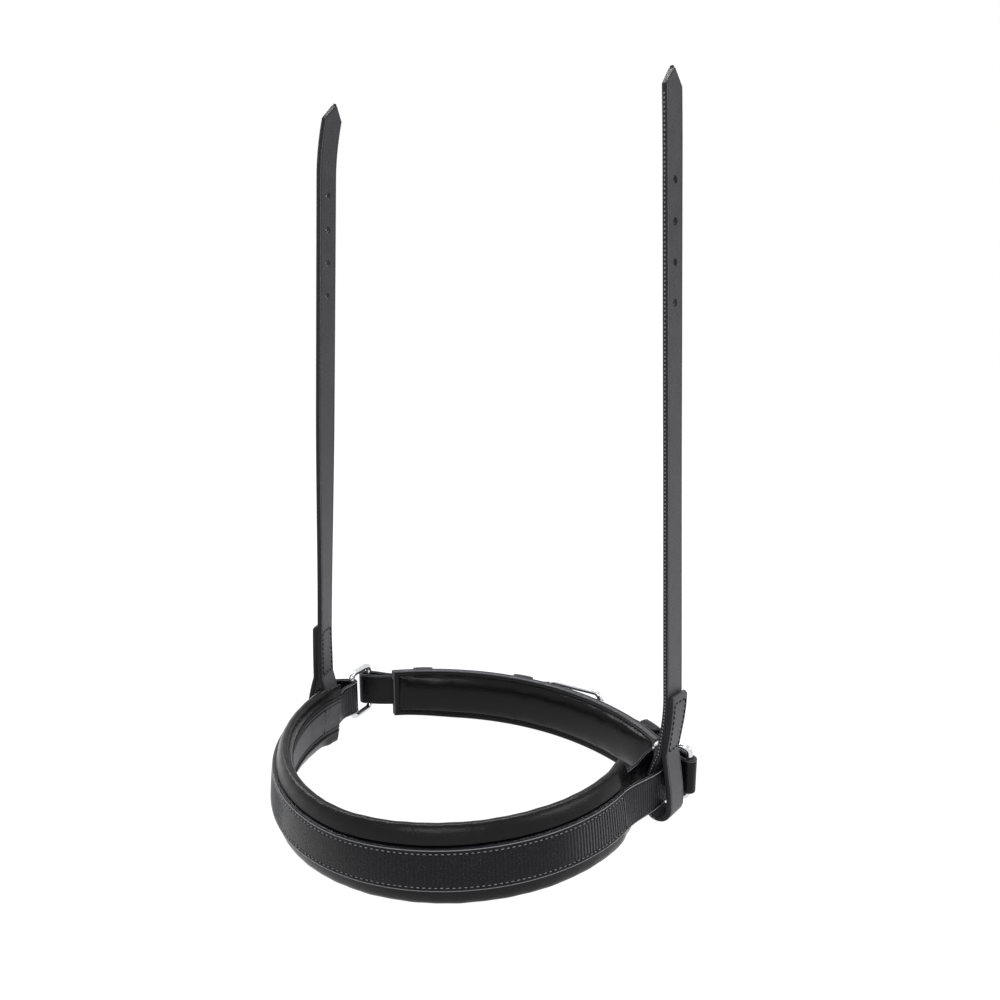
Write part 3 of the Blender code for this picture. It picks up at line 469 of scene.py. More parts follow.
    def far_bar(self, side: Side) -> np.ndarray:
        """Return the plan point of a ring's far bar."""
        return side.near_bar + bearing(side.ring_turn) * self.ring_span

    def hinge(self) -> np.ndarray:
        """Return the plan point of the buckle's hinge bar."""
        return self.jaw_point(self.hinge_angle, self.layer_one + self.chape_fold + self.hinge_lift)


PLAN = Layout()


# Sections and sweeps


@dataclass(frozen=True)
class StrapSection:
    """Section of a leather strap: two creased faces and two rounded edges.

    Attributes:
        width: across the strap.
        thickness: through the leather.
        crease: depth of the line pressed beside each edge.
        inset: distance of that line from the edge.
        crown: how far the outer face swells in the middle.
        layers: depth of the two joints that show on the cut edges.
        pitch: spacing of the points across the faces.
    """

    width: float
    thickness: float
    crease: float = 0.18 * MM
    inset: float = 1.5 * MM
    crown: float = 0.0
    layers: float = 0.0
    pitch: float = 0.8 * MM

    def outline(self) -> tuple[np.ndarray, np.ndarray]:
        """Return the section's points and the face that each lies on.

        Returns:
            Pairs of distance across and outwards, and an array of Face values.
        """
        half, deep = self.width / 2, self.thickness / 2
        bevel = min(0.42 * self.thickness, 0.9 * MM)
        reach = half - bevel
        line = half - self.inset
        near = [line + step * MM for step in (-0.55, -0.3, -0.15, 0.0, 0.15, 0.3)]
        near = [w for w in near if w < reach - 0.05 * MM]
        steps = max(int(near[0] / self.pitch), 2)
        positive = spread(0.0, near[0], steps)[:-1] + near + [reach]
        across = [-w for w in reversed(positive[1:])] + positive
        points: list[tuple[float, float]] = []
        faces: list[int] = []
        for sign, face in ((1, Face.OUTER), (-1, Face.INNER)):
            for w in across:
                dip = self.crease * math.exp(-(((abs(w) - line) / (0.22 * MM)) ** 2))
                swell = self.crown * (1 - (w / half) ** 2) if sign > 0 else 0.0
                points.append((w * sign, sign * (deep - dip) + swell))
                faces.append(face.value)
            for angle, depth in self.edge_profile(bevel, deep):
                points.append((sign * angle, depth * sign))
                faces.append(Face.EDGE.value)
        return np.array(points), np.array(faces)

    def edge_profile(self, bevel: float, deep: float) -> list[tuple[float, float]]:
        """Return an edge from the outer face round to the inner one.

        Args:
            bevel: radius of the rounding.
            deep: half the thickness.

        Returns:
            Pairs of distance across and outwards, for the positive edge.
        """
        half = self.width / 2
        points = []
        for angle in spread(math.radians(22), math.radians(68), 2):
            points.append(
                (half - bevel + bevel * math.sin(angle), deep - bevel + bevel * math.cos(angle))
            )
        if self.layers > 0:
            for place in (0.45, 0.3, 0.15, 0.0, -0.15, -0.3, -0.45):
                cut = self.layers if abs(abs(place) - 0.3) < 0.01 else 0.0
                points.append((half - cut, deep * place))
        else:
            points.append((half, 0.0))
        for angle in spread(math.radians(68), math.radians(22), 2):
            points.append(
                (half - bevel + bevel * math.sin(angle), bevel - deep - bevel * math.cos(angle))
            )
        return points


@dataclass
class Shell:
    """A closed mesh in the making, with what the materials read from it."""

    points: np.ndarray
    quads: list[list[int]]
    caps: list[list[int]] = field(default_factory=list)
    along: np.ndarray | None = None
    across: np.ndarray | None = None
    face: np.ndarray | None = None


def grid_quads(rows: int, count: int, closed: bool = False) -> np.ndarray:
    """Return the quads between rows of a ring section.

    Args:
        rows: how many rows.
        count: points in each row.
        closed: whether the last row joins the first.

    Returns:
        An array of four point numbers per quad.
    """
    last = rows if closed else rows - 1
    row = np.arange(last)[:, None]
    spot = np.arange(count)[None, :]
    after_row = (row + 1) % rows
    after_spot = (spot + 1) % count
    corners = [
        row * count + spot,
        row * count + after_spot,
        after_row * count + after_spot,
        after_row * count + spot,
    ]
    return np.stack([np.broadcast_to(c, (last, count)) for c in corners], axis=2).reshape(-1, 4)


def wrap(rows: np.ndarray, closed: bool = False) -> Shell:
    """Lay faces over rows of points.

    Args:
        rows: stations by points of the section by three.
        closed: whether the last row joins the first.

    Returns:
        The shell, its two ends closed by a face each unless it is endless.
    """
    stations, count = rows.shape[:2]
    caps = [list(range(count)), list(range((stations - 1) * count, stations * count))]
    quads = grid_quads(stations, count, closed).tolist()
    return Shell(rows.reshape(-1, 3), quads, [] if closed else caps)


def sweep(
    centres: np.ndarray,
    across: np.ndarray,
    outwards: np.ndarray,
    section: StrapSection,
    spots: np.ndarray,
    scale: np.ndarray | None = None,
    closed: bool = False,
) -> Shell:
    """Carry a strap section along a line.

    Args:
        centres: the strap's middle at each station.
        across: direction across the strap at each station.
        outwards: direction of its outer face at each station.
        section: the section.
        spots: distance along the line at each station.
        scale: share of the full width at each station.
        closed: whether the strap is an endless band.

    Returns:
        The strap's shell, its ends rounded over unless it is closed.
    """
    outline, faces = section.outline()
    scale = np.ones(len(centres)) if scale is None else scale
    thin = np.ones(len(centres))
    if not closed:
        ways = np.diff(centres, axis=0)
        first, last = unit(-ways[0]), unit(ways[-1])
        round_off = 0.3 * section.thickness
        for reach, size in ((0.55, 0.72), (0.9, 0.5)):
            centres = np.vstack((centres[:1], centres, centres[-1:]))
            across = np.vstack((across[:1], across, across[-1:]))
            outwards = np.vstack((outwards[:1], outwards, outwards[-1:]))
            centres[0] = centres[1] + first * round_off * reach
            centres[-1] = centres[-2] + last * round_off * reach
            spots = np.concatenate((spots[:1], spots, spots[-1:]))
            scale = np.concatenate((scale[:1], scale, scale[-1:]))
            thin = np.concatenate(([size], thin, [size]))
    width = outline[:, 0][None, :] * scale[:, None]
    trim = (1 - thin)[:, None] * section.thickness / 2 * np.sign(outline[:, 0])[None, :]
    width = np.where(np.abs(width) > np.abs(trim), width - trim, width * 0.5)
    depth = outline[:, 1][None, :] * thin[:, None]
    sideways = across[:, None, :] * width[:, :, None]
    shell = wrap(centres[:, None, :] + sideways + outwards[:, None, :] * depth[:, :, None], closed)
    shell.along = np.repeat(spots, len(outline))
    shell.across = width.reshape(-1)
    shell.face = np.tile(faces, len(centres))
    return shell


def plan_sweep(
    points: Sequence[np.ndarray],
    section: StrapSection,
    step: float,
    scale_at: Callable[[np.ndarray], np.ndarray] | None = None,
    flip: bool = False,
    middle: float | None = None,
    tilts: Sequence[np.ndarray] | None = None,
) -> Shell:
    """Carry a strap section along a level line, its width upright.

    Args:
        points: the plan line.
        section: the section.
        step: spacing of the stations.
        scale_at: from distances along to shares of the full width.
        flip: whether the outer face lies to the line's left.
        middle: height of the strap's middle, the nose strap's for none.
        tilts: plan shift per height at each of the points.

    Returns:
        The strap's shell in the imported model's frame.
    """
    line, spots = resample(points, step)
    ways = line_ways(line) * (-1.0 if flip else 1.0)
    outwards = np.stack((ways[:, 1], -ways[:, 0], np.zeros(len(line))), axis=1)
    centres = to_frame(line, PLAN.strap_z if middle is None else middle)
    across = np.tile(UP, (len(line), 1))
    if tilts is not None:
        lengths, shifts = distances(np.array(points)), np.array(tilts)
        for k in range(2):
            across[:, k] = np.interp(spots, lengths, shifts[:, k])
    scale = None if scale_at is None else scale_at(spots)
    return sweep(centres, across, outwards, section, spots, scale)


def new_object(name: str, data: bpy.types.ID) -> Any:
    """Return a new object of the scene that holds some data."""
    item = bpy.data.objects.new(name, data)
    bpy.context.scene.collection.objects.link(item)
    return item


def store(data: bpy.types.Mesh, key: str, values: np.ndarray) -> None:
    """Keep a number or a direction for each point of a mesh.

    Args:
        data: the mesh.
        key: the attribute's name.
        values: a number, or three in a row, for each point.
    """
    kind, field_name = ("FLOAT", "value") if values.ndim == 1 else ("FLOAT_VECTOR", "vector")
    layer = data.attributes.new(key, kind, "POINT")
    layer.data.foreach_set(field_name, values.astype(np.float32).ravel())


def make_piece(name: str, shell: Shell, materials: Sequence, slots: np.ndarray | None = None) -> Any:
    """Turn a shell into a mesh object at the origin.

    Args:
        name: the piece's name.
        shell: its points, faces and attributes.
        materials: its materials.
        slots: the material number of each face, quads first.

    Returns:
        The new object, its faces pointing outwards.
    """
    data = bpy.data.meshes.new(name)
    data.from_pydata(shell.points.tolist(), [], list(shell.quads) + list(shell.caps))
    for key in ("along", "across", "face"):
        if getattr(shell, key) is not None:
            store(data, key, getattr(shell, key))
    for material in materials:
        data.materials.append(material)
    if slots is not None:
        data.polygons.foreach_set("material_index", np.asarray(slots, np.int32))
    shape = bmesh.new()
    shape.from_mesh(data)
    bmesh.ops.recalc_face_normals(shape, faces=shape.faces)
    shape.to_mesh(data)
    shape.free()
    data.shade_smooth()
    data.set_sharp_from_angle(angle=math.radians(50))
    return new_object(name, data)


def bake(item: Any) -> Any:
    """Replace an object's mesh by its evaluated one and drop its modifiers."""
    bpy.context.view_layer.update()
    graph = bpy.context.evaluated_depsgraph_get()
    made = bpy.data.meshes.new_from_object(item.evaluated_get(graph))
    item.modifiers.clear()
    item.data = made
    return item


def cut_out(item: Any, shape: bmesh.types.BMesh) -> None:
    """Cut a shape out of a piece and keep the result as the piece's mesh."""
    data = bpy.data.meshes.new("cutter")
    shape.to_mesh(data)
    shape.free()
    cutter = new_object("cutter", data)
    cut = item.modifiers.new("cut", "BOOLEAN")
    cut.operation, cut.solver, cut.object = "DIFFERENCE", "EXACT", cutter
    bake(item)
    bpy.data.objects.remove(cutter)


def settle(item: Any, body: str, slot: Slot, *nodes: str) -> Any:
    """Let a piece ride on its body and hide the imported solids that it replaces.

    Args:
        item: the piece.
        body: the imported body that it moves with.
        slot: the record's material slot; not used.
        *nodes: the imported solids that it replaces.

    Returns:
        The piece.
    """
    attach(item, body)
    if nodes:
        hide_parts(*nodes)
    LOG.info("%s rides on %s, %d faces", item.name, body, len(item.data.polygons))
    return item


# Finishes


def new_material(name: str) -> tuple[bpy.types.Material, bpy.types.NodeTree, Any]:
    """Return a new material, its tree and its Principled shader."""
    material = bpy.data.materials.new(name)
    material.use_nodes = True
    return material, material.node_tree, material.node_tree.nodes["Principled BSDF"]


@dataclass(frozen=True)
class Leather:
    """Finished leather: a pigmented skin with pressed grain over a soft body.

    Attributes:
        name: the material's name.
        colour: the pigment.
        worn: the pigment where the surface is worn or catches dust.
        roughness: of the finish.
        relief: depth of the grain.
        grain: size of a grain cell.
        tiny: how many times finer than a cell the fine grain is.
        gloss: strength of the clear top finish.
        gloss_roughness: how blurred that finish is.
        specular: reflection level of the pigment coat.
        edge: pigment of the cut edge, or an empty text for none.
        half: half the strap's width, 0 where the leather has no lined edges.
        corner: colour of the painted line along each corner, a painted highlight where it is light and
            painted shade where it is dark.
        wear_and_painted_corner: width of that painted line.
        crease: distance from the edge of the pressed line that the painted shade follows.
        mark: half the width of the pressed line.
        pressed: colour of the painted shade along the pressed line.
        foot: a colour blended in towards the strap's lower end, or an empty text for none.
        grain_highlight: colour of the painted highlight on the tops of the grain, or an empty text for
            none.
        crest_highlight: colour of the painted highlight on the crests of the ribs, or an empty text for
            none.
    """

    name: str
    colour: str
    worn: str
    roughness: float
    relief: float
    grain: float = 0.9 * MM
    tiny: float = 2.4
    gloss: float = 0.0
    gloss_roughness: float = 0.2
    specular: float = 0.5
    edge: str = ""
    half: float = 0.0
    corner: str = "#7c7c80"
    wear_and_painted_corner: float = 1.1 * MM
    crease: float = 1.3 * MM
    mark: float = 0.4 * MM
    pressed: str = "#060607"
    foot: str = ""
    grain_highlight: str = ""
    crest_highlight: str = ""

    def build(self) -> bpy.types.Material:
        """Return the material.

        Returns:
            A Principled material whose grain reads Object coordinates.
        """
        material, tree, shader = new_material(self.name)
        place = add_node(tree, "ShaderNodeTexCoord")
        cells = add_node(
            tree,
            "ShaderNodeTexVoronoi",
            {"Vector": place.outputs["Object"], "Scale": 1 / self.grain, "Randomness": 1.0},
            feature="SMOOTH_F1",
        )
        fine = add_node(
            tree,
            "ShaderNodeTexNoise",
            {"Vector": place.outputs["Object"], "Scale": self.tiny / self.grain, "Detail": 3.0},
        )
        broad = add_node(
            tree,
            "ShaderNodeTexNoise",
            {"Vector": place.outputs["Object"], "Scale": 70.0, "Detail": 4.0, "Roughness": 0.6},
        )
        wear_and_painted_corner = add_node(
            tree, "ShaderNodeMapRange", {"Value": broad.outputs["Fac"], 1: 0.42, 2: 0.72, 3: 0.0, 4: 0.6}
        )
        mixed = add_node(
            tree,
            "ShaderNodeMix",
            {0: wear_and_painted_corner, 6: linear(self.colour), 7: linear(self.worn)},
            data_type="RGBA",
        )
        colour = mixed.outputs[2]
        # Painted highlight: glints laid on the tops of the grain cells
        if self.grain_highlight:
            tops = add_node(
                tree,
                "ShaderNodeMapRange",
                {"Value": cells.outputs["Distance"], 1: 0.1, 2: 0.3, 3: 0.75, 4: 0.0},
            )
            some = add_node(
                tree,
                "ShaderNodeMapRange",
                {"Value": fine.outputs["Fac"], 1: 0.42, 2: 0.62, 3: 0.0, 4: 1.0},
            )
            both = add_node(tree, "ShaderNodeMath", {0: tops, 1: some}, operation="MULTIPLY")
            colour = self.paint(tree, both, colour, self.grain_highlight)
        # Painted highlight on the crests of the ribs
        if self.crest_highlight:
            ribs = add_node(tree, "ShaderNodeAttribute", attribute_name="crest_highlight")
            colour = self.paint(tree, ribs.outputs["Fac"], colour, self.crest_highlight)
        # A colour blended in towards the lower end: none above 0.34 m, full below 0.1 m
        if self.foot:
            parts = add_node(tree, "ShaderNodeSeparateXYZ", {0: place.outputs["Object"]})
            low = add_node(
                tree, "ShaderNodeMapRange", {"Value": parts.outputs["Z"], 1: 0.34, 2: 0.1, 3: 0.0, 4: 1.0}
            )
            colour = self.paint(tree, low, colour, self.foot)
        if self.half:
            colour = self.line_edges(tree, colour)
        if self.edge:
            face = add_node(tree, "ShaderNodeAttribute", attribute_name="face")
            is_edge = add_node(
                tree, "ShaderNodeMapRange", {"Value": face.outputs["Fac"], 1: 1.4, 2: 1.9, 3: 0.0, 4: 1.0}
            )
            colour = self.paint(tree, is_edge, colour, self.edge)
        spots = add_node(
            tree,
            "ShaderNodeMapRange",
            {
                "Value": fine.outputs["Fac"],
                1: 0.3,
                2: 0.7,
                3: self.roughness * 0.82,
                4: self.roughness * 1.18,
            },
        )
        height = add_node(
            tree,
            "ShaderNodeMath",
            {0: cells.outputs["Distance"], 1: fine.outputs["Fac"]},
            operation="ADD",
        )
        bump = add_node(
            tree, "ShaderNodeBump", {"Height": height, "Distance": self.relief, "Strength": 1.0}
        )
        surface = {"Base Color": colour, "Roughness": spots, "Normal": bump, "Coat Normal": bump}
        finish = {"Coat Weight": self.gloss, "Coat Roughness": self.gloss_roughness}
        fill(tree, shader, {**surface, **finish, "Specular IOR Level": self.specular})
        return material

    def paint(self, tree: bpy.types.NodeTree, share: Any, under: Any, colour: str) -> Any:
        """Return a colour laid over another by a share."""
        mixed = add_node(tree, "ShaderNodeMix", {0: share, 6: under, 7: linear(colour)}, data_type="RGBA")
        return mixed.outputs[2]

    def line_edges(self, tree: bpy.types.NodeTree, colour: Any) -> Any:
        """Return a strap's colour with painted shade along its crease and a painted line along each
        corner.

        Args:
            tree: the material's tree.
            colour: the strap's own colour.

        Returns:
            The lined colour.
        """
        across = add_node(tree, "ShaderNodeAttribute", attribute_name="across")
        away = add_node(tree, "ShaderNodeMath", {0: across.outputs["Fac"]}, operation="ABSOLUTE")
        off = add_node(
            tree, "ShaderNodeMath", {0: away, 1: self.half - self.crease}, operation="SUBTRACT"
        )
        near = add_node(tree, "ShaderNodeMath", {0: off}, operation="ABSOLUTE")
        # Painted shade along the pressed crease line
        pressed = add_node(
            tree, "ShaderNodeMapRange", {"Value": near, 1: self.mark / 2, 2: self.mark, 3: 0.85, 4: 0.0}
        )
        colour = self.paint(tree, pressed, colour, self.pressed)
        # Painted corner line: a painted highlight on the straps and the jaw pad, painted shade over the
        # lining's groove
        start = self.half - self.wear_and_painted_corner
        painted_light_share = add_node(
            tree, "ShaderNodeMapRange", {"Value": away, 1: start, 2: start + 0.3 * MM, 3: 0.0, 4: 0.9}
        )
        return self.paint(tree, painted_light_share, colour, self.corner)


@dataclass(frozen=True)
class Metal:
    """Drawn steel wire, bent and tumbled to a bright polish."""

    name: str
    colour: str
    roughness: float

    def build(self) -> bpy.types.Material:
        """Return the material, with the faint drag marks of polishing."""
        material, tree, shader = new_material(self.name)
        place = add_node(tree, "ShaderNodeTexCoord")
        marks = add_node(
            tree, "ShaderNodeTexNoise", {"Vector": place.outputs["Object"], "Scale": 900.0, "Detail": 4.0}
        )
        spots = add_node(
            tree,
            "ShaderNodeMapRange",
            {"Value": marks.outputs["Fac"], 1: 0.35, 2: 0.75, 3: self.roughness, 4: self.roughness * 1.9},
        )
        bump = add_node(
            tree,
            "ShaderNodeBump",
            {"Height": marks.outputs["Fac"], "Distance": 0.01 * MM, "Strength": 0.4},
        )
        skin = {"Base Color": linear(self.colour), "Metallic": 1.0}
        fill(tree, shader, {**skin, "Roughness": spots, "Normal": bump})
        return material


@dataclass(frozen=True)
class Thread:
    """Waxed bonded thread, twisted from three plies."""

    name: str
    colour: str
    roughness: float
    ply: float = 0.35 * MM

    def build(self) -> bpy.types.Material:
        """Return the material, with the twist as fine slanting bands."""
        material, tree, shader = new_material(self.name)
        place = add_node(tree, "ShaderNodeTexCoord")
        bands = add_node(
            tree,
            "ShaderNodeTexWave",
            {"Vector": place.outputs["Object"], "Scale": 0.5 / self.ply, "Distortion": 1.5},
            bands_direction="DIAGONAL",
        )
        bump = add_node(
            tree,
            "ShaderNodeBump",
            {"Height": bands.outputs["Fac"], "Distance": 0.08 * MM, "Strength": 0.7},
        )
        skin = {"Base Color": linear(self.colour), "Roughness": self.roughness}
        fill(tree, shader, {**skin, "Specular IOR Level": 0.15, "Normal": bump})
        return material


class Wardrobe:
    """Every finish of the noseband, built once."""

    def __init__(self) -> None:
        """Build the materials."""
        # Soft aniline calf over foam: tight small grain, a low waxy sheen
        self.pad = Leather(
            "calf_pad", "#0e0e10", "#161618", roughness=0.2, relief=0.09 * MM, specular=0.17
        ).build()
        # Lining on the side that meets the horse: matte calf painted grey as painted light on that face of
        # the black pad, with painted shade along its stitch lines and over the groove by each roll
        self.lining = Leather(
            "calf_lining_painted_light", "#46464a", "#66666a", roughness=0.5, relief=0.12 * MM, specular=0.2,
            half=PLAN.nose_strap_width / 2, corner="#060607", crease=2.6 * MM, mark=0.8 * MM,
        ).build()
        # Glazed calf on the jaw pad: nearly smooth, bright and soft, with a painted highlight round its
        # border and ends and painted shade on its crease line
        self.glazed = Leather(
            "glazed_calf", "#060608", "#0c0c0e", roughness=0.17, relief=0.1 * MM, grain=1.3 * MM,
            specular=0.17, half=PLAN.jaw_pad_height / 2, corner="#58585c", crease=1.7 * MM,
        ).build()
        # Ribbed patent leather: pressed ribs under a hard lacquer that sparkles, with painted highlights
        # on the grain tops, the rib crests and along the corners, and painted shade on the crease lines
        self.ribbed = Leather(
            "ribbed_patent", "#050509", "#0a0a11", roughness=0.16, relief=0.2 * MM, specular=0.16,
            edge="#101014", half=PLAN.nose_strap_width / 2, corner="#a4a4aa", crease=1.6 * MM,
            grain_highlight="#4c4c54", crest_highlight="#6a6a72",
        ).build()
        # Bridle leather of the cheek straps: dyed grey-black, waxed, matte, with a painted highlight along
        # its corners, painted shade on its crease lines and a colour blended in towards its lower end
        self.bridle = Leather(
            "bridle_strap", "#313136", "#424248", roughness=0.42, relief=0.16 * MM, specular=0.25,
            edge="#1c1c20", half=PLAN.cheek_width / 2, corner="#808084", foot="#505054",
        ).build()
        # Black dyed strap of the jaw piece, lightly glazed, with a painted highlight along its corners and
        # painted shade on its crease lines
        self.black = Leather(
            "black_strap", "#0a0a0d", "#141417", roughness=0.28, relief=0.1 * MM, gloss=0.05,
            specular=0.14, edge="#2a2a2e", half=PLAN.jaw_strap_width / 2, corner="#6c6c70",
        ).build()
        # Stainless wire, tumbled bright
        self.steel = Metal("polished_steel_wire", "#d4d5d8", 0.12).build()
        # Waxed black thread, which sinks into the leather and hardly shines
        self.thread = Thread("waxed_thread", "#050506", 0.45).build()
        # The same black thread painted pale as a painted highlight for its glints: along the nose strap
        # and on a cheek strap's edges
        self.thread_with_painted_glints = Thread("thread_painted_glints", "#8c8c90", 0.5).build()


# Geometry Nodes trees


class GroupTree:
    """A Geometry Nodes tree with named inputs, run on a piece and kept as its mesh."""

    def __init__(self, name: str, inputs: dict[str, str]) -> None:
        """Make the tree with its sockets: a mesh, the named inputs, the finished mesh.

        Args:
            name: the tree's name.
            inputs: for the name of each input, its kind of socket.
        """
        self.tree = bpy.data.node_groups.new(name, "GeometryNodeTree")
        face = self.tree.interface
        face.new_socket("Geometry", in_out="INPUT", socket_type="NodeSocketGeometry")
        self.keys = []
        for label, kind in inputs.items():
            socket = face.new_socket(label, in_out="INPUT", socket_type=f"NodeSocket{kind}")
            self.keys.append(socket.identifier)
        face.new_socket("Geometry", in_out="OUTPUT", socket_type="NodeSocketGeometry")
        self.given = add_node(self.tree, "NodeGroupInput")

    def run(self, item: Any, *values: Any) -> Any:
        """Run the tree on a piece and keep the result as its mesh.

        Args:
            item: the piece.
            *values: a value for each named input, in their order.

        Returns:
            The piece, without a modifier.
        """
        modifier = item.modifiers.new(self.tree.name, "NODES")
        modifier.node_group = self.tree
        for key, value in zip(self.keys, values):
            modifier[key] = value
        return bake(item)


class StitchTree(GroupTree):
    """Lays one stitch of thread on each point of a seam."""

    def __init__(self) -> None:
        """Build the tree."""
        super().__init__(
            "seam_stitches",
            {"Stitch Length": "Float", "Thread Thickness": "Float", "Thread Material": "Material"},
        )
        tree, given = self.tree, self.given
        ball = add_node(tree, "GeometryNodeMeshUVSphere", {"Segments": 8, "Rings": 6, "Radius": 0.5})
        thick = given.outputs["Thread Thickness"]
        size = add_node(
            tree, "ShaderNodeCombineXYZ", {"X": given.outputs["Stitch Length"], "Y": thick, "Z": thick}
        )
        along = add_node(tree, "GeometryNodeInputNamedAttribute", {0: "way"}, data_type="FLOAT_VECTOR")
        facing = add_node(tree, "GeometryNodeInputNamedAttribute", {0: "facing"}, data_type="FLOAT_VECTOR")
        first = add_node(tree, "FunctionNodeAlignEulerToVector", {"Vector": along}, axis="X")
        second = add_node(
            tree,
            "FunctionNodeAlignEulerToVector",
            {"Rotation": first, "Vector": facing},
            axis="Z",
            pivot_axis="X",
        )
        laid = add_node(
            tree,
            "GeometryNodeInstanceOnPoints",
            {"Points": given, "Instance": ball.outputs["Mesh"], "Rotation": second, "Scale": size},
        )
        real = add_node(tree, "GeometryNodeRealizeInstances", {"Geometry": laid})
        smooth = add_node(tree, "GeometryNodeSetShadeSmooth", {"Geometry": real})
        dye = given.outputs["Thread Material"]
        dyed = add_node(tree, "GeometryNodeSetMaterial", {"Geometry": smooth, "Material": dye})
        add_node(tree, "NodeGroupOutput", {0: dyed})

    def sew(self, name: str, seams: Sequence[Seam], material: bpy.types.Material) -> Any:
        """Return one mesh of all the stitches of some seams.

        Args:
            name: the piece's name.
            seams: the seams, each with its points and directions.
            material: the thread's material.

        Returns:
            The stitches as a plain mesh object.
        """
        data = bpy.data.meshes.new(name)
        data.from_pydata(np.vstack([s.points for s in seams]).tolist(), [], [])
        store(data, "way", np.vstack([s.ways for s in seams]))
        store(data, "facing", np.vstack([s.facing for s in seams]))
        item = self.run(new_object(name, data), seams[0].length, seams[0].thickness, material)
        if not item.data.materials:
            item.data.materials.append(material)
        return item


@dataclass
class Seam:
    """A row of stitches.

    Attributes:
        points: the middle of each stitch.
        ways: its direction.
        facing: the leather's outward direction there.
        length: the length of a stitch.
        thickness: the thickness of the thread.
    """

    points: np.ndarray
    ways: np.ndarray
    facing: np.ndarray
    length: float = 2.5 * MM
    thickness: float = 0.62 * MM


def seam_along(
    line: np.ndarray,
    facing: np.ndarray,
    pitch: float = 3.2 * MM,
    share: float = 0.78,
    thread: float = 0.62 * MM,
) -> Seam:
    """Space stitches along a line on a surface.

    Args:
        line: points of the seam.
        facing: the outward direction at each.
        pitch: distance from stitch to stitch.
        share: the part of the pitch that a stitch covers.
        thread: thickness of the thread.

    Returns:
        The seam.
    """
    lengths = distances(line)
    count = max(int(round(lengths[-1] / pitch)), 1)
    real = lengths[-1] / count
    middles = (np.arange(count) + 0.5) * real

    def at(spots: np.ndarray, values: np.ndarray) -> np.ndarray:
        """Return values read off at distances along the seam."""
        return np.stack([np.interp(spots, lengths, values[:, k]) for k in range(3)], axis=1)

    ways = unit_rows(at(middles + real * 0.3, line) - at(middles - real * 0.3, line))
    return Seam(at(middles, line), ways, unit_rows(at(middles, facing)), real * share, thread)


class RibTree(GroupTree):
    """Presses ribs into a strap's outer face, from its distances along and across."""

    def __init__(self) -> None:
        """Build the tree."""
        super().__init__(
            "pressed_ribs",
            {
                "Rib Pitch": "Float",
                "Rib Depth": "Float",
                "Rib Slant": "Float",
                "Strap Material": "Material",
            },
        )
        tree, given = self.tree, self.given
        along = add_node(tree, "GeometryNodeInputNamedAttribute", {0: "along"})
        across = add_node(tree, "GeometryNodeInputNamedAttribute", {0: "across"})
        ribbed = add_node(tree, "GeometryNodeInputNamedAttribute", {0: "ribbed"})
        # Phase along the strap, leaning with the slant, then a cosine from 0 down to -1
        value = across
        for operation, *others in (
            ("MULTIPLY", given.outputs["Rib Slant"]),
            ("ADD", along),
            ("DIVIDE", given.outputs["Rib Pitch"]),
            ("MULTIPLY", math.tau),
            ("COSINE",),
            ("MULTIPLY_ADD", 0.5, -0.5),
            ("MULTIPLY", ribbed),
            ("MULTIPLY", given.outputs["Rib Depth"]),
        ):
            inputs = dict(enumerate((value, *others)))
            value = add_node(tree, "ShaderNodeMath", inputs, operation=operation)
        normal = add_node(tree, "GeometryNodeInputNormal")
        shift = add_node(tree, "ShaderNodeVectorMath", {0: normal, "Scale": value}, operation="SCALE")
        moved = add_node(tree, "GeometryNodeSetPosition", {"Geometry": given, "Offset": shift})
        real = add_node(tree, "GeometryNodeRealizeInstances", {"Geometry": moved})
        skin = given.outputs["Strap Material"]
        dyed = add_node(tree, "GeometryNodeSetMaterial", {"Geometry": real, "Material": skin})
        add_node(tree, "NodeGroupOutput", {0: dyed})

    def press(
        self,
        item: Any,
        shell: Shell,
        pitch: float,
        depth: float,
        slant: float,
        margin: float,
        half: float,
        painted_light_share: float = 0.25,
        bare: tuple[float, float] | None = None,
    ) -> Any:
        """Press ribs into a strap and keep the result as its mesh.

        Args:
            item: the strap.
            shell: the shell that it was made from.
            pitch: distance from rib to rib.
            depth: how deep the hollows are.
            slant: shift along the strap per distance across it.
            margin: plain width left beside each edge.
            half: half the strap's width.
            painted_light_share: how strongly the painted highlight on the crests shows.
            bare: shares of the length between which the ribs are worn away.

        Returns:
            The strap.
        """
        inside = smooth_step((half - margin - np.abs(shell.across)) / (0.5 * MM))
        if bare:
            share = shell.along / shell.along.max()
            left = smooth_step((share - bare[0]) / 0.08)
            right = smooth_step((bare[1] - share) / 0.08)
            inside = inside * (1 - 0.96 * left * right)
        ribbed = np.where(shell.face == Face.OUTER.value, inside, 0.0)
        wave = np.cos(math.tau * (shell.along + slant * shell.across) / pitch)
        store(item.data, "ribbed", ribbed)
        # Share of the painted highlight on the crests of the ribs
        store(item.data, "crest_highlight", ribbed * np.clip(wave * 1.2 - 0.1, 0, 1) * painted_light_share)
        return self.run(item, pitch, depth, slant, item.data.materials[0])


class Kit:
    """What every sub-assembly is made with."""

    def __init__(self) -> None:
        """Build the finishes and the trees."""
        self.finish = Wardrobe()
        self.stitches = StitchTree()
        self.ribs = RibTree()

    def sew(self, name: str, body: str, slot: Slot, seams: Sequence[Seam], pale: bool = False) -> Any:
        """Make a piece of stitches, of black thread or of the thread painted pale as a highlight, and let
        it ride.
        """
        thread = self.finish.thread_with_painted_glints if pale else self.finish.thread
        return settle(self.stitches.sew(name, seams, thread), body, slot)


# Nose piece


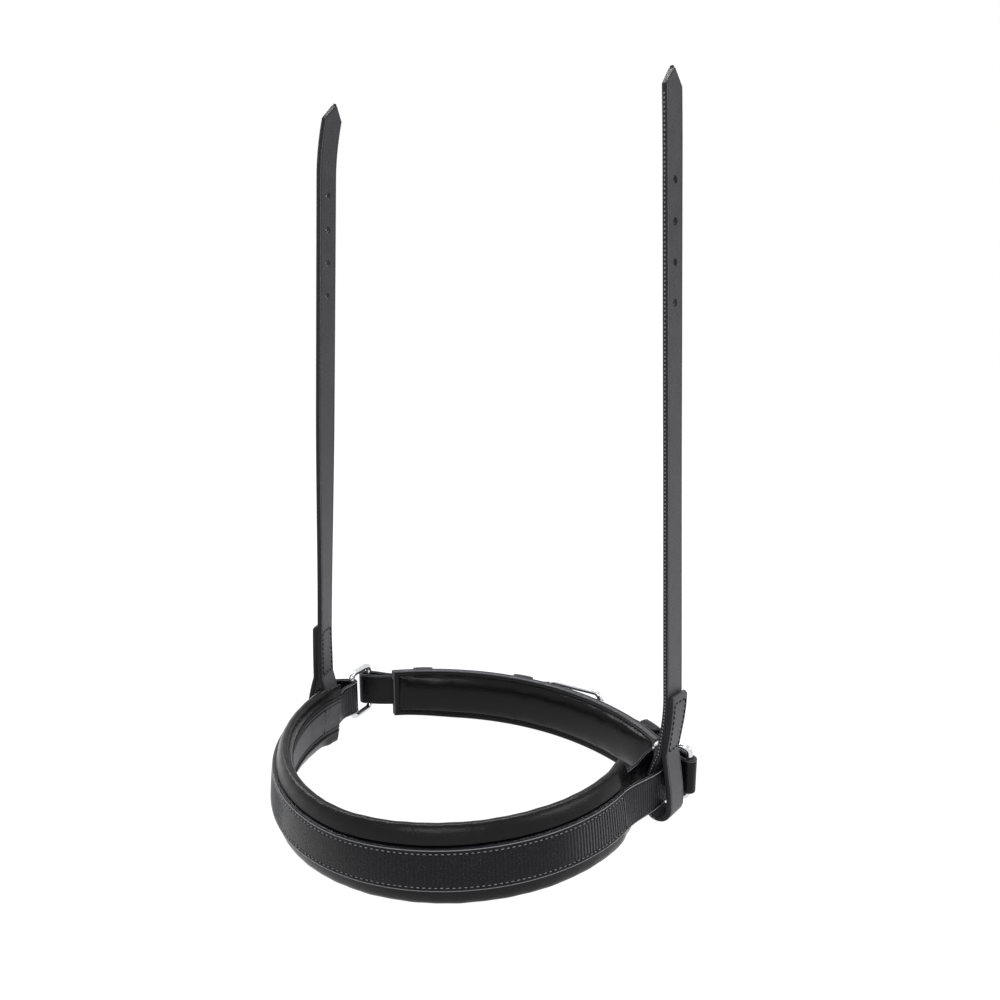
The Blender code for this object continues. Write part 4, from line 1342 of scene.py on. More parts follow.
@dataclass
class NosePiece:
    """The padded arch over the nose, its ribbed strap and the two ring tabs."""

    kit: Kit
    pad_height: float = 43.0 * MM
    squareness: float = 2.5
    channel_margin: float = 0.4 * MM
    roll_step: float = 0.5 * MM
    groove: float = 1.2 * MM
    lining_sink: float = 0.4 * MM
    rib_pitch: float = 2.1 * MM
    rib_depth: float = 0.42 * MM
    stitch_inset: float = 2.6 * MM
    bare: tuple[float, float] = (0.3, 0.92)
    strap_thread: float = 0.6 * MM
    lining_thread: float = 0.9 * MM

    def build(self) -> None:
        """Build every piece of the nose assembly."""
        self.build_pad()
        self.build_strap()
        for side in (LEFT, RIGHT):
            self.build_tab(side)
        self.sew_lining()

    def section(self) -> tuple[np.ndarray, np.ndarray]:
        """Return the pad's section and which of its points are lining.

        Returns:
            Pairs of outward distance and height, and an array of flags.
        """
        half, height = PLAN.pad_half, self.pad_height / 2
        floor = PLAN.channel_floor
        channel = PLAN.nose_strap_width / 2 + self.channel_margin
        power = 2.0 / self.squareness
        edge = PLAN.nose_strap_width / 2 - 0.6 * MM
        start = math.asin(((channel + self.roll_step) / height) ** (1.0 / power))
        end = math.asin(((edge + 3.0 * MM) / height) ** (1.0 / power))
        lower = [(floor, z) for z in spread(0.0, -channel, 8)]
        for angle in spread(start, math.pi - end, 30):
            out = math.copysign(abs(math.cos(angle)) ** power, math.cos(angle)) * half
            lower.append((out, -height * math.sin(angle) ** power))
        stitch = PLAN.nose_strap_width / 2 - self.stitch_inset
        rolled = len(lower)
        for z in spread(edge + 2.2 * MM, 0.0, 44):
            step = self.groove * math.exp(-(((z - edge - 0.6 * MM) / (0.75 * MM)) ** 2))
            seam = 0.5 * MM * math.exp(-(((z - stitch) / (0.7 * MM)) ** 2))
            swell = 0.35 * MM * math.cos(min(z / stitch, 1.0) * math.pi / 2)
            base = self.lining_sink * float(smooth_step((edge + 2.2 * MM - z) / (1.5 * MM)))
            lower.append((base + step + seam - half - swell * float(smooth_step((stitch - z) / MM)), -z))
        flags = [0] * rolled + [1] * (len(lower) - rolled)
        upper = [(out, -z) for out, z in reversed(lower[1:-1])]
        points = np.array(lower + upper)
        return points, np.array(flags + list(reversed(flags[1:-1])))

    def build_pad(self) -> None:
        """Make the soft pad that the strap is sewn to."""
        section, lining = self.section()
        angles = spread(LEFT.pad_end, -PLAN.seam_angle, 14)
        angles += spread(-PLAN.seam_angle, PLAN.seam_angle, 210)[1:]
        angles += spread(PLAN.seam_angle, RIGHT.pad_end, 12)[1:]
        rows = [self.pad_row(angle, section, 1.0) for angle in angles]
        blunt, full = ((0.35, 0.93), (0.5, 0.8)), ((0.7, 0.97), (1.3, 0.9), (1.7, 0.8), (1.9, 0.65))
        for end, pick, steps in ((angles[0], 0, blunt), (angles[-1], -1, full)):
            for step, size in steps:
                turn = math.copysign(step * MM / PLAN.nose_half_depth, end)
                row = self.pad_row(end + turn, section, size)
                rows.insert(0, row) if pick == 0 else rows.append(row)
        shell = wrap(self.soften(np.array(rows)))
        # across is each point's height, which places the lining's painted shade lines
        shell.across = np.tile(section[:, 1], len(rows))
        slots = np.concatenate((np.tile(lining * np.roll(lining, -1), len(rows) - 1), [0, 0]))
        item = make_piece("nose_pad", shell, (self.kit.finish.pad, self.kit.finish.lining), slots)
        settle(item, "nose", Slot.SOFT, "nose_pad_cover", "nose_pad_foam")

    def pad_row(self, angle: float, section: np.ndarray, size: float) -> np.ndarray:
        """Return one station of the pad.

        Args:
            angle: the station.
            section: pairs of outward distance and height.
            size: shrinks the section about its middle, to round an end.

        Returns:
            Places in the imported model's frame.
        """
        way = PLAN.nose_way(angle)
        out = np.array((way[1], -way[0]))
        half = PLAN.pad_half
        channel = PLAN.nose_strap_width / 2 + self.channel_margin
        on_roll = np.abs(section[:, 1]) > channel + PLAN.fit
        share = np.where(on_roll, PLAN.pad_share(angle, True), PLAN.pad_share(angle))
        offset = (section[:, 0] + half) * share - half
        middle = (section[:, 0].max() + half) * share / 2 - half
        offset = middle + (offset - middle) * size - PLAN.lean_at(angle) * section[:, 1]
        height = section[:, 1] * (1 - (1 - size) * 0.08)
        plan = PLAN.nose_curve(angle)[None, :] + out[None, :] * offset[:, None] - ORIGIN
        return np.column_stack((plan, PLAN.strap_z + height))

    def soften(self, rows: np.ndarray) -> np.ndarray:
        """Give the rolls the slight unevenness of hand-stuffed leather.

        Args:
            rows: stations by points by three.

        Returns:
            The same rows, moved by up to a quarter of a millimetre.
        """
        ways = unit_rows(rows - rows.mean(axis=1, keepdims=True))
        stations = np.arange(len(rows))[:, None]
        spots = np.arange(rows.shape[1])[None, :]
        roll = np.abs(rows[:, :, 2] - PLAN.strap_z) > PLAN.nose_strap_width / 2
        lumps = np.sin(stations * 0.31 + spots * 0.11) * np.sin(stations * 0.113 + 1.7)
        lumps = lumps + 0.6 * np.sin(stations * 0.83 + spots * 0.23 + 0.9)
        return rows + ways * (lumps * roll * 0.1 * MM)[:, :, None]

    def build_strap(self) -> None:
        """Make the ribbed strap in the channel, with its two rows of stitches."""
        offset = PLAN.channel_floor + PLAN.fit + PLAN.nose_strap_thickness / 2
        seam = PLAN.seam_angle
        stations = spread(-seam, seam, 400)
        points = [PLAN.nose_point(angle, offset) for angle in stations]
        tilts = [PLAN.nose_tilt(angle) for angle in stations]
        section = StrapSection(
            PLAN.nose_strap_width, PLAN.nose_strap_thickness, 0.3 * MM, self.stitch_inset, 0.35 * MM
        )
        shell = plan_sweep(points, section, self.rib_pitch / 6, tilts=tilts)
        item = make_piece("nose_strap_leather", shell, (self.kit.finish.ribbed,))
        half = PLAN.nose_strap_width / 2
        margin = self.stitch_inset + 0.5 * MM
        # Ribs, with a strong painted highlight on their crests
        self.kit.ribs.press(
            item, shell, self.rib_pitch, self.rib_depth, 0.0, margin, half, painted_light_share=0.8, bare=self.bare
        )
        settle(item, "nose", Slot.RIBBED, "nose_strap")
        face = offset + PLAN.nose_strap_thickness / 2 + 0.05 * MM
        seams = []
        reach = seam - 1.6 * MM / PLAN.nose_half_depth
        angles = spread(-reach, reach, 300)
        ways = [PLAN.nose_way(angle) for angle in angles]
        facing = np.array([(w[1], -w[0], 0.0) for w in ways])
        for sign in (-1, 1):
            rise = sign * (half - self.stitch_inset)
            line = np.array([PLAN.nose_place(angle, face, rise) for angle in angles])
            seams.append(seam_along(line, facing, 3.0 * MM, 0.6, self.strap_thread))
        # Pale thread: a painted highlight on the strap's stitches
        self.kit.sew("nose_strap_long_stitches", "nose", Slot.RIBBED, seams, pale=True)
        seams = []
        for angle in (-reach, reach):
            heights = spread(self.stitch_inset - half, half - self.stitch_inset, 8)
            line = np.array([PLAN.nose_place(angle, face, z) for z in heights])
            way = PLAN.nose_way(angle)
            seams.append(seam_along(line, np.tile((way[1], -way[0], 0.0), (9, 1))))
        self.kit.sew("nose_strap_end_stitches", "nose", Slot.RIBBED, seams)

    def sew_lining(self) -> None:
        """Sew the strap's seams where they come through to the lining."""
        half = PLAN.nose_strap_width / 2 - self.stitch_inset
        inner = -PLAN.pad_half + self.lining_sink + 0.35 * MM
        reach = PLAN.seam_angle - 1.6 * MM / PLAN.nose_half_depth
        angles = spread(-reach, reach, 260)
        ways = [PLAN.nose_way(angle) for angle in angles]
        facing = np.array([(-way[1], way[0], 0.0) for way in ways])
        seams = []
        for sign in (-1, 1):
            line = np.array([PLAN.nose_place(a, inner, sign * half) for a in angles])
            seams.append(seam_along(line, facing, 3.2 * MM, 0.85, self.lining_thread))
        for index in (0, -1):
            heights = spread(-half, half, 8)
            line = np.array([PLAN.nose_place(angles[index], inner - 0.35 * MM, z) for z in heights])
            tiled = np.tile(facing[index], (9, 1))
            seams.append(seam_along(line, tiled, 3.2 * MM, 0.85, 1.1 * MM))
        self.kit.sew("nose_lining_stitches", "nose", Slot.SOFT, seams)

    def tab_path(self, side: Side) -> list[np.ndarray]:
        """Return the plan line of a tab: over the loop, round the ring, back in.

        Args:
            side: which side.

        Returns:
            The line of the leather's middle.
        """
        gap = 2 * PLAN.fit / PLAN.nose_half_width
        seam = side.sign * (PLAN.seam_angle + gap)
        face = PLAN.channel_floor + PLAN.fit + PLAN.tab_thickness / 2
        outer = PLAN.nose_point(seam, face + PLAN.fit + PLAN.tab_thickness)
        out_way = PLAN.nose_way(seam) * side.sign
        loop_way = bearing(side.loop_turn + math.pi / 2)
        seat = side.loop + bearing(side.loop_turn) * (side.sign * side.seat)
        front = seat - loop_way * (PLAN.cheek_width / 2)
        back = seat + loop_way * (PLAN.cheek_width / 2)
        fold = PLAN.ring_bar + PLAN.fit + PLAN.tab_thickness / 2
        quarter = side.sign * math.pi / 2
        bar_way = unit(side.near_bar - back)
        inner_way = unit(side.tab_inner[0] - side.near_bar)
        start = math.atan2(bar_way[1], bar_way[0]) - quarter
        end = math.atan2(inner_way[1], inner_way[0]) - quarter
        while (end - start) * side.sign < 0:
            end += side.sign * math.tau
        turn = turn_round(side.near_bar, fold, start, end)
        points = [outer, *blend(outer, out_way, front, loop_way), back]
        points += blend(back, loop_way, turn[0], bar_way)
        points += turn[1:]
        chain = [turn[-1], *side.tab_inner]
        chain.append(PLAN.nose_point(side.pad_end, self.face_offset(side.pad_end)))
        ways = [bearing(end + quarter)]
        for before, after in zip(chain, chain[2:]):
            ways.append(unit(after - before))
        ways.append(-PLAN.nose_way(side.pad_end) * side.sign)
        for index in range(1, len(chain)):
            points += blend(chain[index - 1], ways[index - 1], chain[index], ways[index])
        for angle in spread(side.pad_end, seam, 24)[1:]:
            points.append(PLAN.nose_point(angle, self.face_offset(angle)))
        return points

    def tab_tilts(self, side: Side, points: Sequence[np.ndarray]) -> list[np.ndarray]:
        """Return a tab's plan shift per height: leaning on the pad, upright at the ring.

        Args:
            side: which side.
            points: the tab's line.

        Returns:
            One plan shift for each point.
        """
        loop_way = bearing(side.loop_turn + math.pi / 2)
        front = (side.loop - loop_way * (PLAN.cheek_width / 2))[1]
        seam, bar = points[0][1], side.near_bar[1]
        end = PLAN.nose_point(side.pad_end, 0.0)[1]
        turn = int(np.argmax([point[1] for point in points]))
        full = PLAN.nose_tilt(side.sign * PLAN.seam_angle)
        leaving = PLAN.nose_tilt(side.pad_end)
        tilts = []
        for index, point in enumerate(points):
            share, way = (front - point[1]) / (front - seam), full
            if index > turn:
                share, way = (bar - point[1]) / (bar - end), leaving
            tilts.append(way * min(max(share, 0.0), 1.0))
        seam_angle = side.sign * (PLAN.seam_angle + 2 * PLAN.fit / PLAN.nose_half_width)
        tilts[-24:] = [PLAN.nose_tilt(a) for a in spread(side.pad_end, seam_angle, 24)[1:]]
        return tilts

    def face_offset(self, angle: float) -> float:
        """Return the offset of a tab's inner leg, which lies on the pad's face."""
        half, share = PLAN.pad_half, PLAN.pad_share(angle)
        floor = -half + (PLAN.channel_floor + half) * share
        return floor + PLAN.fit * (2.0 - share) + PLAN.tab_thickness / 2

    def build_tab(self, side: Side) -> None:
        """Make one tab, faintly ribbed."""
        points = self.tab_path(side)
        width = PLAN.nose_strap_width
        section = StrapSection(width, PLAN.tab_thickness, 0.15 * MM, 1.6 * MM)
        tilts = self.tab_tilts(side, points)
        shell = plan_sweep(points, section, 0.35 * MM, flip=side.sign < 0, tilts=tilts)
        item = make_piece(f"tab_{side.name}_leather", shell, (self.kit.finish.ribbed,))
        # Faint ribs, with a weak painted highlight on their crests
        self.kit.ribs.press(item, shell, 1.9 * MM, 0.12 * MM, 0.0, 2.2 * MM, width / 2)
        settle(item, "nose", Slot.RIBBED, f"ring_tab_{side.name}")


# Rings and buckle


def oblong(
    centre: np.ndarray, along: np.ndarray, length: float, height: float, corner: float
) -> np.ndarray:
    """Return the bar line of an upright oblong with round corners.

    Args:
        centre: its middle.
        along: level direction of its length.
        length: distance between the two upright bars.
        height: distance between the two level bars.
        corner: radius of the corners.

    Returns:
        Points of the closed line.
    """
    points = []
    for quarter in range(4):
        first = quarter * math.pi / 2
        hub_a = (1 if quarter in (0, 3) else -1) * (length / 2 - corner)
        hub_z = (1 if quarter in (0, 1) else -1) * (height / 2 - corner)
        for angle in spread(first, first + math.pi / 2, 12):
            level = hub_a + corner * math.cos(angle)
            rise = hub_z + corner * math.sin(angle)
            points.append(centre + along * level + UP * rise)
    return np.array(points)


def round_bar(
    line: np.ndarray, radii: np.ndarray | float, around: int = 24, closed: bool = False
) -> Shell:
    """Carry a round section along a line.

    Args:
        line: the bar's middle.
        radii: its radius, the same or one for each point.
        around: points round the section.
        closed: whether the bar is endless.

    Returns:
        The bar's shell.
    """
    count = len(line)
    radii = np.broadcast_to(np.asarray(radii, float), (count,))
    ways = line_ways(line, closed)
    plane = np.cross(line[count // 3] - line[0], line[2 * count // 3] - line[0])
    plane = UP if np.linalg.norm(plane) < 1e-12 else unit(plane)
    side = unit_rows(np.cross(ways, plane))
    angles = np.linspace(0.0, math.tau, around, endpoint=False)
    ring = side[:, None, :] * np.cos(angles)[None, :, None]
    ring = ring + plane[None, None, :] * np.sin(angles)[None, :, None]
    return wrap(line[:, None, :] + ring * radii[:, None, None], closed)


@dataclass
class Hardware:
    """The two rings and the roller buckle, all of round bar."""

    kit: Kit
    ring_height: float = 36.0 * MM
    ring_corner: float = 4.0 * MM
    buckle_length: float = 37.0 * MM
    buckle_corner: float = 4.0 * MM
    side_gap: float = 1.7 * MM
    roller_wall: float = 1.0 * MM
    running: float = 0.25 * MM
    tongue_radius: float = 1.2 * MM
    tongue_rise: float = 0.6 * MM
    tongue_opening: float = math.radians(20)
    overhang: float = 2.5 * MM

    def build(self) -> None:
        """Build the rings, the buckle frame, the roller and the tongue."""
        for side, body in ((LEFT, "ring_l"), (RIGHT, "ring_r")):
            self.build_ring(side, body)
        self.build_buckle()

    def build_ring(self, side: Side, body: str) -> None:
        """Make one ring."""
        along = np.append(bearing(side.ring_turn), 0.0)
        near = np.append(side.near_bar - ORIGIN, PLAN.strap_z)
        height = self.ring_height - 2 * PLAN.ring_bar
        middle = near + along * (PLAN.ring_span / 2)
        line = oblong(middle, along, PLAN.ring_span, height, self.ring_corner)
        shell = round_bar(line, PLAN.ring_bar, closed=True)
        item = make_piece(f"ring_{side.name}_steel", shell, (self.kit.finish.steel,))
        settle(item, body, Slot.STEEL, f"ring_{side.name}")

    def build_buckle(self) -> None:
        """Make the buckle's frame, its roller and its tongue."""
        angle = PLAN.hinge_angle
        outwards = np.append(PLAN.jaw_out(angle), 0.0)
        right = np.append(PLAN.jaw_way(angle), 0.0)
        hinge = np.append(PLAN.hinge() - ORIGIN, PLAN.jaw_z)
        height = PLAN.jaw_strap_width + 2 * (self.side_gap + PLAN.wire)
        centre = hinge + right * (self.buckle_length / 2)
        line = oblong(centre, right, self.buckle_length, height, self.buckle_corner)
        steel = (self.kit.finish.steel,)
        item = make_piece("buckle_frame_steel", round_bar(line, PLAN.wire, closed=True), steel)
        settle(item, "buckle", Slot.STEEL, "buckle_frame")
        self.build_roller(hinge + right * self.buckle_length, height)
        self.build_tongue(hinge, right, outwards)

    def build_roller(self, place: np.ndarray, height: float) -> None:
        """Make the roller, a tube with rolled ends."""
        length = height - 2 * self.buckle_corner - 2 * PLAN.fit
        inner = PLAN.wire + self.running
        outer = inner + self.roller_wall
        soft = 0.35 * MM
        profile = [(inner, -length / 2 + soft), (inner, length / 2 - soft)]
        profile += [(inner + soft * 0.4, length / 2), (outer - soft, length / 2)]
        profile += [(outer - soft * 0.3, length / 2 - soft * 0.3), (outer, length / 2 - soft)]
        profile += [(outer, soft - length / 2), (outer - soft * 0.3, soft * 0.3 - length / 2)]
        profile += [(outer - soft, -length / 2), (inner + soft * 0.4, -length / 2)]
        around = 40
        rows = []
        for step in range(around):
            way = np.append(bearing(step * math.tau / around), 0.0)
            rows.append([place + way * radius + UP * z for radius, z in profile])
        shell = wrap(np.array(rows), closed=True)
        item = make_piece("buckle_roller_steel", shell, (self.kit.finish.steel,))
        settle(item, "roller", Slot.STEEL, "buckle_roller")

    def build_tongue(self, hinge: np.ndarray, right: np.ndarray, outwards: np.ndarray) -> None:
        """Make the tongue: an eye round the hinge bar, a shank and a worn tip."""
        roller = PLAN.wire + self.running + self.roller_wall
        eye = PLAN.wire + self.running + self.tongue_radius
        line = []
        for angle in spread(self.tongue_opening, math.tau - self.tongue_opening, 40):
            line.append(hinge + right * (eye * math.cos(angle)) - outwards * (eye * math.sin(angle)))
        start = hinge + right * (eye + 2 * self.tongue_radius) + outwards * self.tongue_rise
        end = hinge + right * self.buckle_length
        end = end + outwards * (roller + PLAN.fit + self.tongue_radius)
        for share in spread(0.0, 1.0, 16):
            line.append(start + (end - start) * share)
        tip = end + right * (roller + self.overhang)
        for share in spread(0.0, 1.0, 8)[1:]:
            line.append(end + (tip - end) * share)
        even, spots = resample(line, 0.7 * MM)
        left = spots[-1] - spots
        radii = self.tongue_radius * np.sqrt(np.clip(1 - (1 - left / (1.6 * MM)).clip(0) ** 2, 0.1, 1))
        item = make_piece("buckle_tongue_steel", round_bar(even, radii, 20), (self.kit.finish.steel,))
        settle(item, "tongue", Slot.STEEL, "buckle_tongue")


# Cheek straps


@dataclass
class CheekStrap:
    """A punched strap that ends in a sewn loop round its tab."""

    kit: Kit
    side: Side
    tip_z: float = 405.3 * MM
    tip_width: float = 1.6 * MM
    tip_length: float = 7.6 * MM
    hole_inset: float = 51.4 * MM
    hole_spacing: float = 20.0 * MM
    hole_count: int = 4
    hole_radius: float = 2.0 * MM
    seam_bottom: float = 41.9 * MM
    end_z: float = 76.5 * MM
    twist_end: float = 225.0 * MM
    curl_length: float = 41.3 * MM
    loop_half: float = 7.4 * MM
    splay: float = 0.33
    rib_pitch: float = 2.2 * MM
    rib_depth: float = 0.16 * MM
    rib_slant: float = 0.75
    edge_pitch: float = 2.1 * MM
    edge_thread: float = 0.9 * MM

    @property
    def body(self) -> str:
        """The body that the strap rides on, which also starts its pieces' names."""
        return f"cheek_{self.side.name}"

    @property
    def apart(self) -> float:
        """Half the distance between the two legs' middles."""
        return (PLAN.cheek_thickness + PLAN.fit) / 2

    @property
    def tip(self) -> float:
        """Height of the tip over the pivot."""
        return self.tip_z - PLAN.strap_z

    @property
    def top_hole(self) -> float:
        """Height of the uppermost hole over the pivot."""
        return self.tip - self.hole_inset

    def profile(self) -> list[np.ndarray]:
        """Return the strap's line as outward distance and height over the pivot."""
        seam = self.seam_bottom - PLAN.strap_z
        hub = PLAN.cheek_thickness / 2 + self.loop_half - PLAN.strap_z
        line = [np.array((-self.apart, z)) for z in spread(self.tip, seam, 500)]
        down = unit(np.array((-self.splay, -1.0)))
        low = np.array((-self.loop_half, hub))
        line += blend(line[-1], down, low, np.array((0.0, -1.0)))
        line += turn_round(np.array((0.0, hub)), self.loop_half, math.pi, math.tau)[1:]
        up = unit(np.array((-self.splay, 1.0)))
        line += blend(line[-1], np.array((0.0, 1.0)), np.array((self.apart, seam)), up)
        end = self.end_z - PLAN.strap_z
        line += [np.array((self.apart, z)) for z in spread(seam, end, 40)[1:]]
        return line

    def place(self, distance: float, height: float) -> tuple[np.ndarray, np.ndarray]:
        """Return a point of the strap's middle and the direction across it.

        Args:
            distance: outward distance from the pivot line.
            height: height over the pivot.

        Returns:
            The place and the direction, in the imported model's frame.
        """
        side = self.side
        seam, end = self.seam_bottom - PLAN.strap_z, self.end_z - PLAN.strap_z
        low = float(smooth_step((height - seam) / (end - seam)))
        high = float(smooth_step((height - end) / (self.twist_end - self.end_z)))
        turn = side.loop_turn + (side.mid_turn - side.loop_turn) * low
        turn += (side.top_turn - side.mid_turn) * high
        outwards = bearing(turn) * side.sign
        share = max(height, 0.0) / self.top_hole
        shift = side.lean * share + side.stand * float(smooth_step(height / end))
        bend = max(height - self.tip + self.curl_length, 0.0) / self.curl_length
        shift = shift - outwards * (side.curl * bend**2)
        plan = side.loop + outwards * distance + shift - ORIGIN
        return np.append(plan, PLAN.strap_z + height), np.array((-outwards[1], outwards[0], 0.0))

    def build(self) -> None:
        """Build the strap with its holes, and its seam."""
        line, spots = resample(self.profile(), self.rib_pitch / 5)
        placed = [self.place(*point) for point in line]
        centres = np.array([p for p, _ in placed])
        across = np.array([a for _, a in placed]) * self.side.sign
        outwards = unit_rows(np.cross(line_ways(centres), across))
        first = np.append(bearing(self.side.top_turn) * self.side.sign, 0.0)
        if np.dot(outwards[0], first) < 0:
            outwards = -outwards
        taper = self.tip_width / PLAN.cheek_width
        scale = taper + (1 - taper) * np.clip(spots / self.tip_length, 0, 1)
        section = StrapSection(
            PLAN.cheek_width, PLAN.cheek_thickness, 0.22 * MM, 1.3 * MM, 0.0, 0.22 * MM
        )
        shell = sweep(centres, across, outwards, section, spots, scale)
        item = make_piece(f"{self.body}_leather", shell, (self.kit.finish.bridle,))
        slant, half = self.rib_slant * self.side.sign, PLAN.cheek_width / 2
        self.kit.ribs.press(item, shell, self.rib_pitch, self.rib_depth, slant, 1.6 * MM, half)
        self.punch(item)
        settle(item, self.body, Slot.STRAP, f"cheek_strap_{self.side.name}")
        self.sew(centres, across, outwards, spots)

    def punch(self, item: Any) -> None:
        """Cut the holes and keep the result as the strap's mesh."""
        shape = bmesh.new()
        for index in range(self.hole_count):
            height = self.top_hole - index * self.hole_spacing
            place, across = self.place(-self.apart, height)
            outwards = Vector(np.cross(across, UP))
            turn = Vector((0, 0, 1)).rotation_difference(outwards).to_matrix().to_4x4()
            bmesh.ops.create_cone(
                shape,
                cap_ends=True,
                segments=28,
                radius1=self.hole_radius,
                radius2=self.hole_radius,
                depth=4 * PLAN.cheek_thickness,
                matrix=Matrix.Translation(Vector(place)) @ turn,
            )
        cut_out(item, shape)

    def sew(
        self, centres: np.ndarray, across: np.ndarray, outwards: np.ndarray, spots: np.ndarray
    ) -> None:
        """Sew the short end to the strap, through both legs.

        Args:
            centres: the strap's middle at each station.
            across: direction across it.
            outwards: direction of its outer face.
            spots: distance along it.
        """
        low = self.seam_bottom + 2.2 * MM
        high = self.end_z - 2.2 * MM
        half = PLAN.cheek_width / 2 - 2.4 * MM
        deep = PLAN.cheek_thickness / 2
        bottom = int(np.argmin(centres[:, 2]))
        seams = []
        for leg in (slice(0, bottom), slice(bottom, len(spots))):
            inside = np.nonzero((centres[leg, 2] > low) & (centres[leg, 2] < high))[0]
            rows = np.arange(len(spots))[leg][inside]
            surface = centres[rows] - outwards[rows] * deep
            facing = -outwards[rows]
            for sign in (-1, 1):
                line = surface + across[rows] * (sign * half)
                seams.append(seam_along(line, facing, 3.3 * MM, 0.82, 1.0 * MM))
            for pick in (0, -1):
                ends = [surface[pick] + across[rows[pick]] * w for w in spread(-half, half, 6)]
                tiled = np.tile(facing[pick], (7, 1))
                seams.append(seam_along(np.array(ends), tiled, 3.3 * MM, 0.82, 1.0 * MM))
        self.kit.sew(f"{self.body}_stitches", self.body, Slot.STRAP, seams)
        if self.side is RIGHT:
            self.bead_edges(centres, across, spots)

    def bead_edges(self, centres: np.ndarray, across: np.ndarray, spots: np.ndarray) -> None:
        """Sew along both edges of the long strap, where the two layers meet.

        Args:
            centres: the strap's middle at each station.
            across: direction across it.
            spots: distance along it.
        """
        bottom = int(np.argmin(centres[:, 2]))
        rows = np.nonzero((spots > self.tip_length + 3 * MM) & (np.arange(len(spots)) < bottom))[0]
        reach = PLAN.cheek_width / 2 - 0.1 * MM
        seams = []
        for sign in (-1, 1):
            line = centres[rows] + across[rows] * (sign * reach)
            way = across[rows] * sign
            seams.append(seam_along(line, way, self.edge_pitch, 0.6, self.edge_thread))
        # Pale thread: a painted highlight on the edge stitches
        self.kit.sew(f"{self.body}_edge_stitches", self.body, Slot.STRAP, seams, pale=True)


# Jaw piece


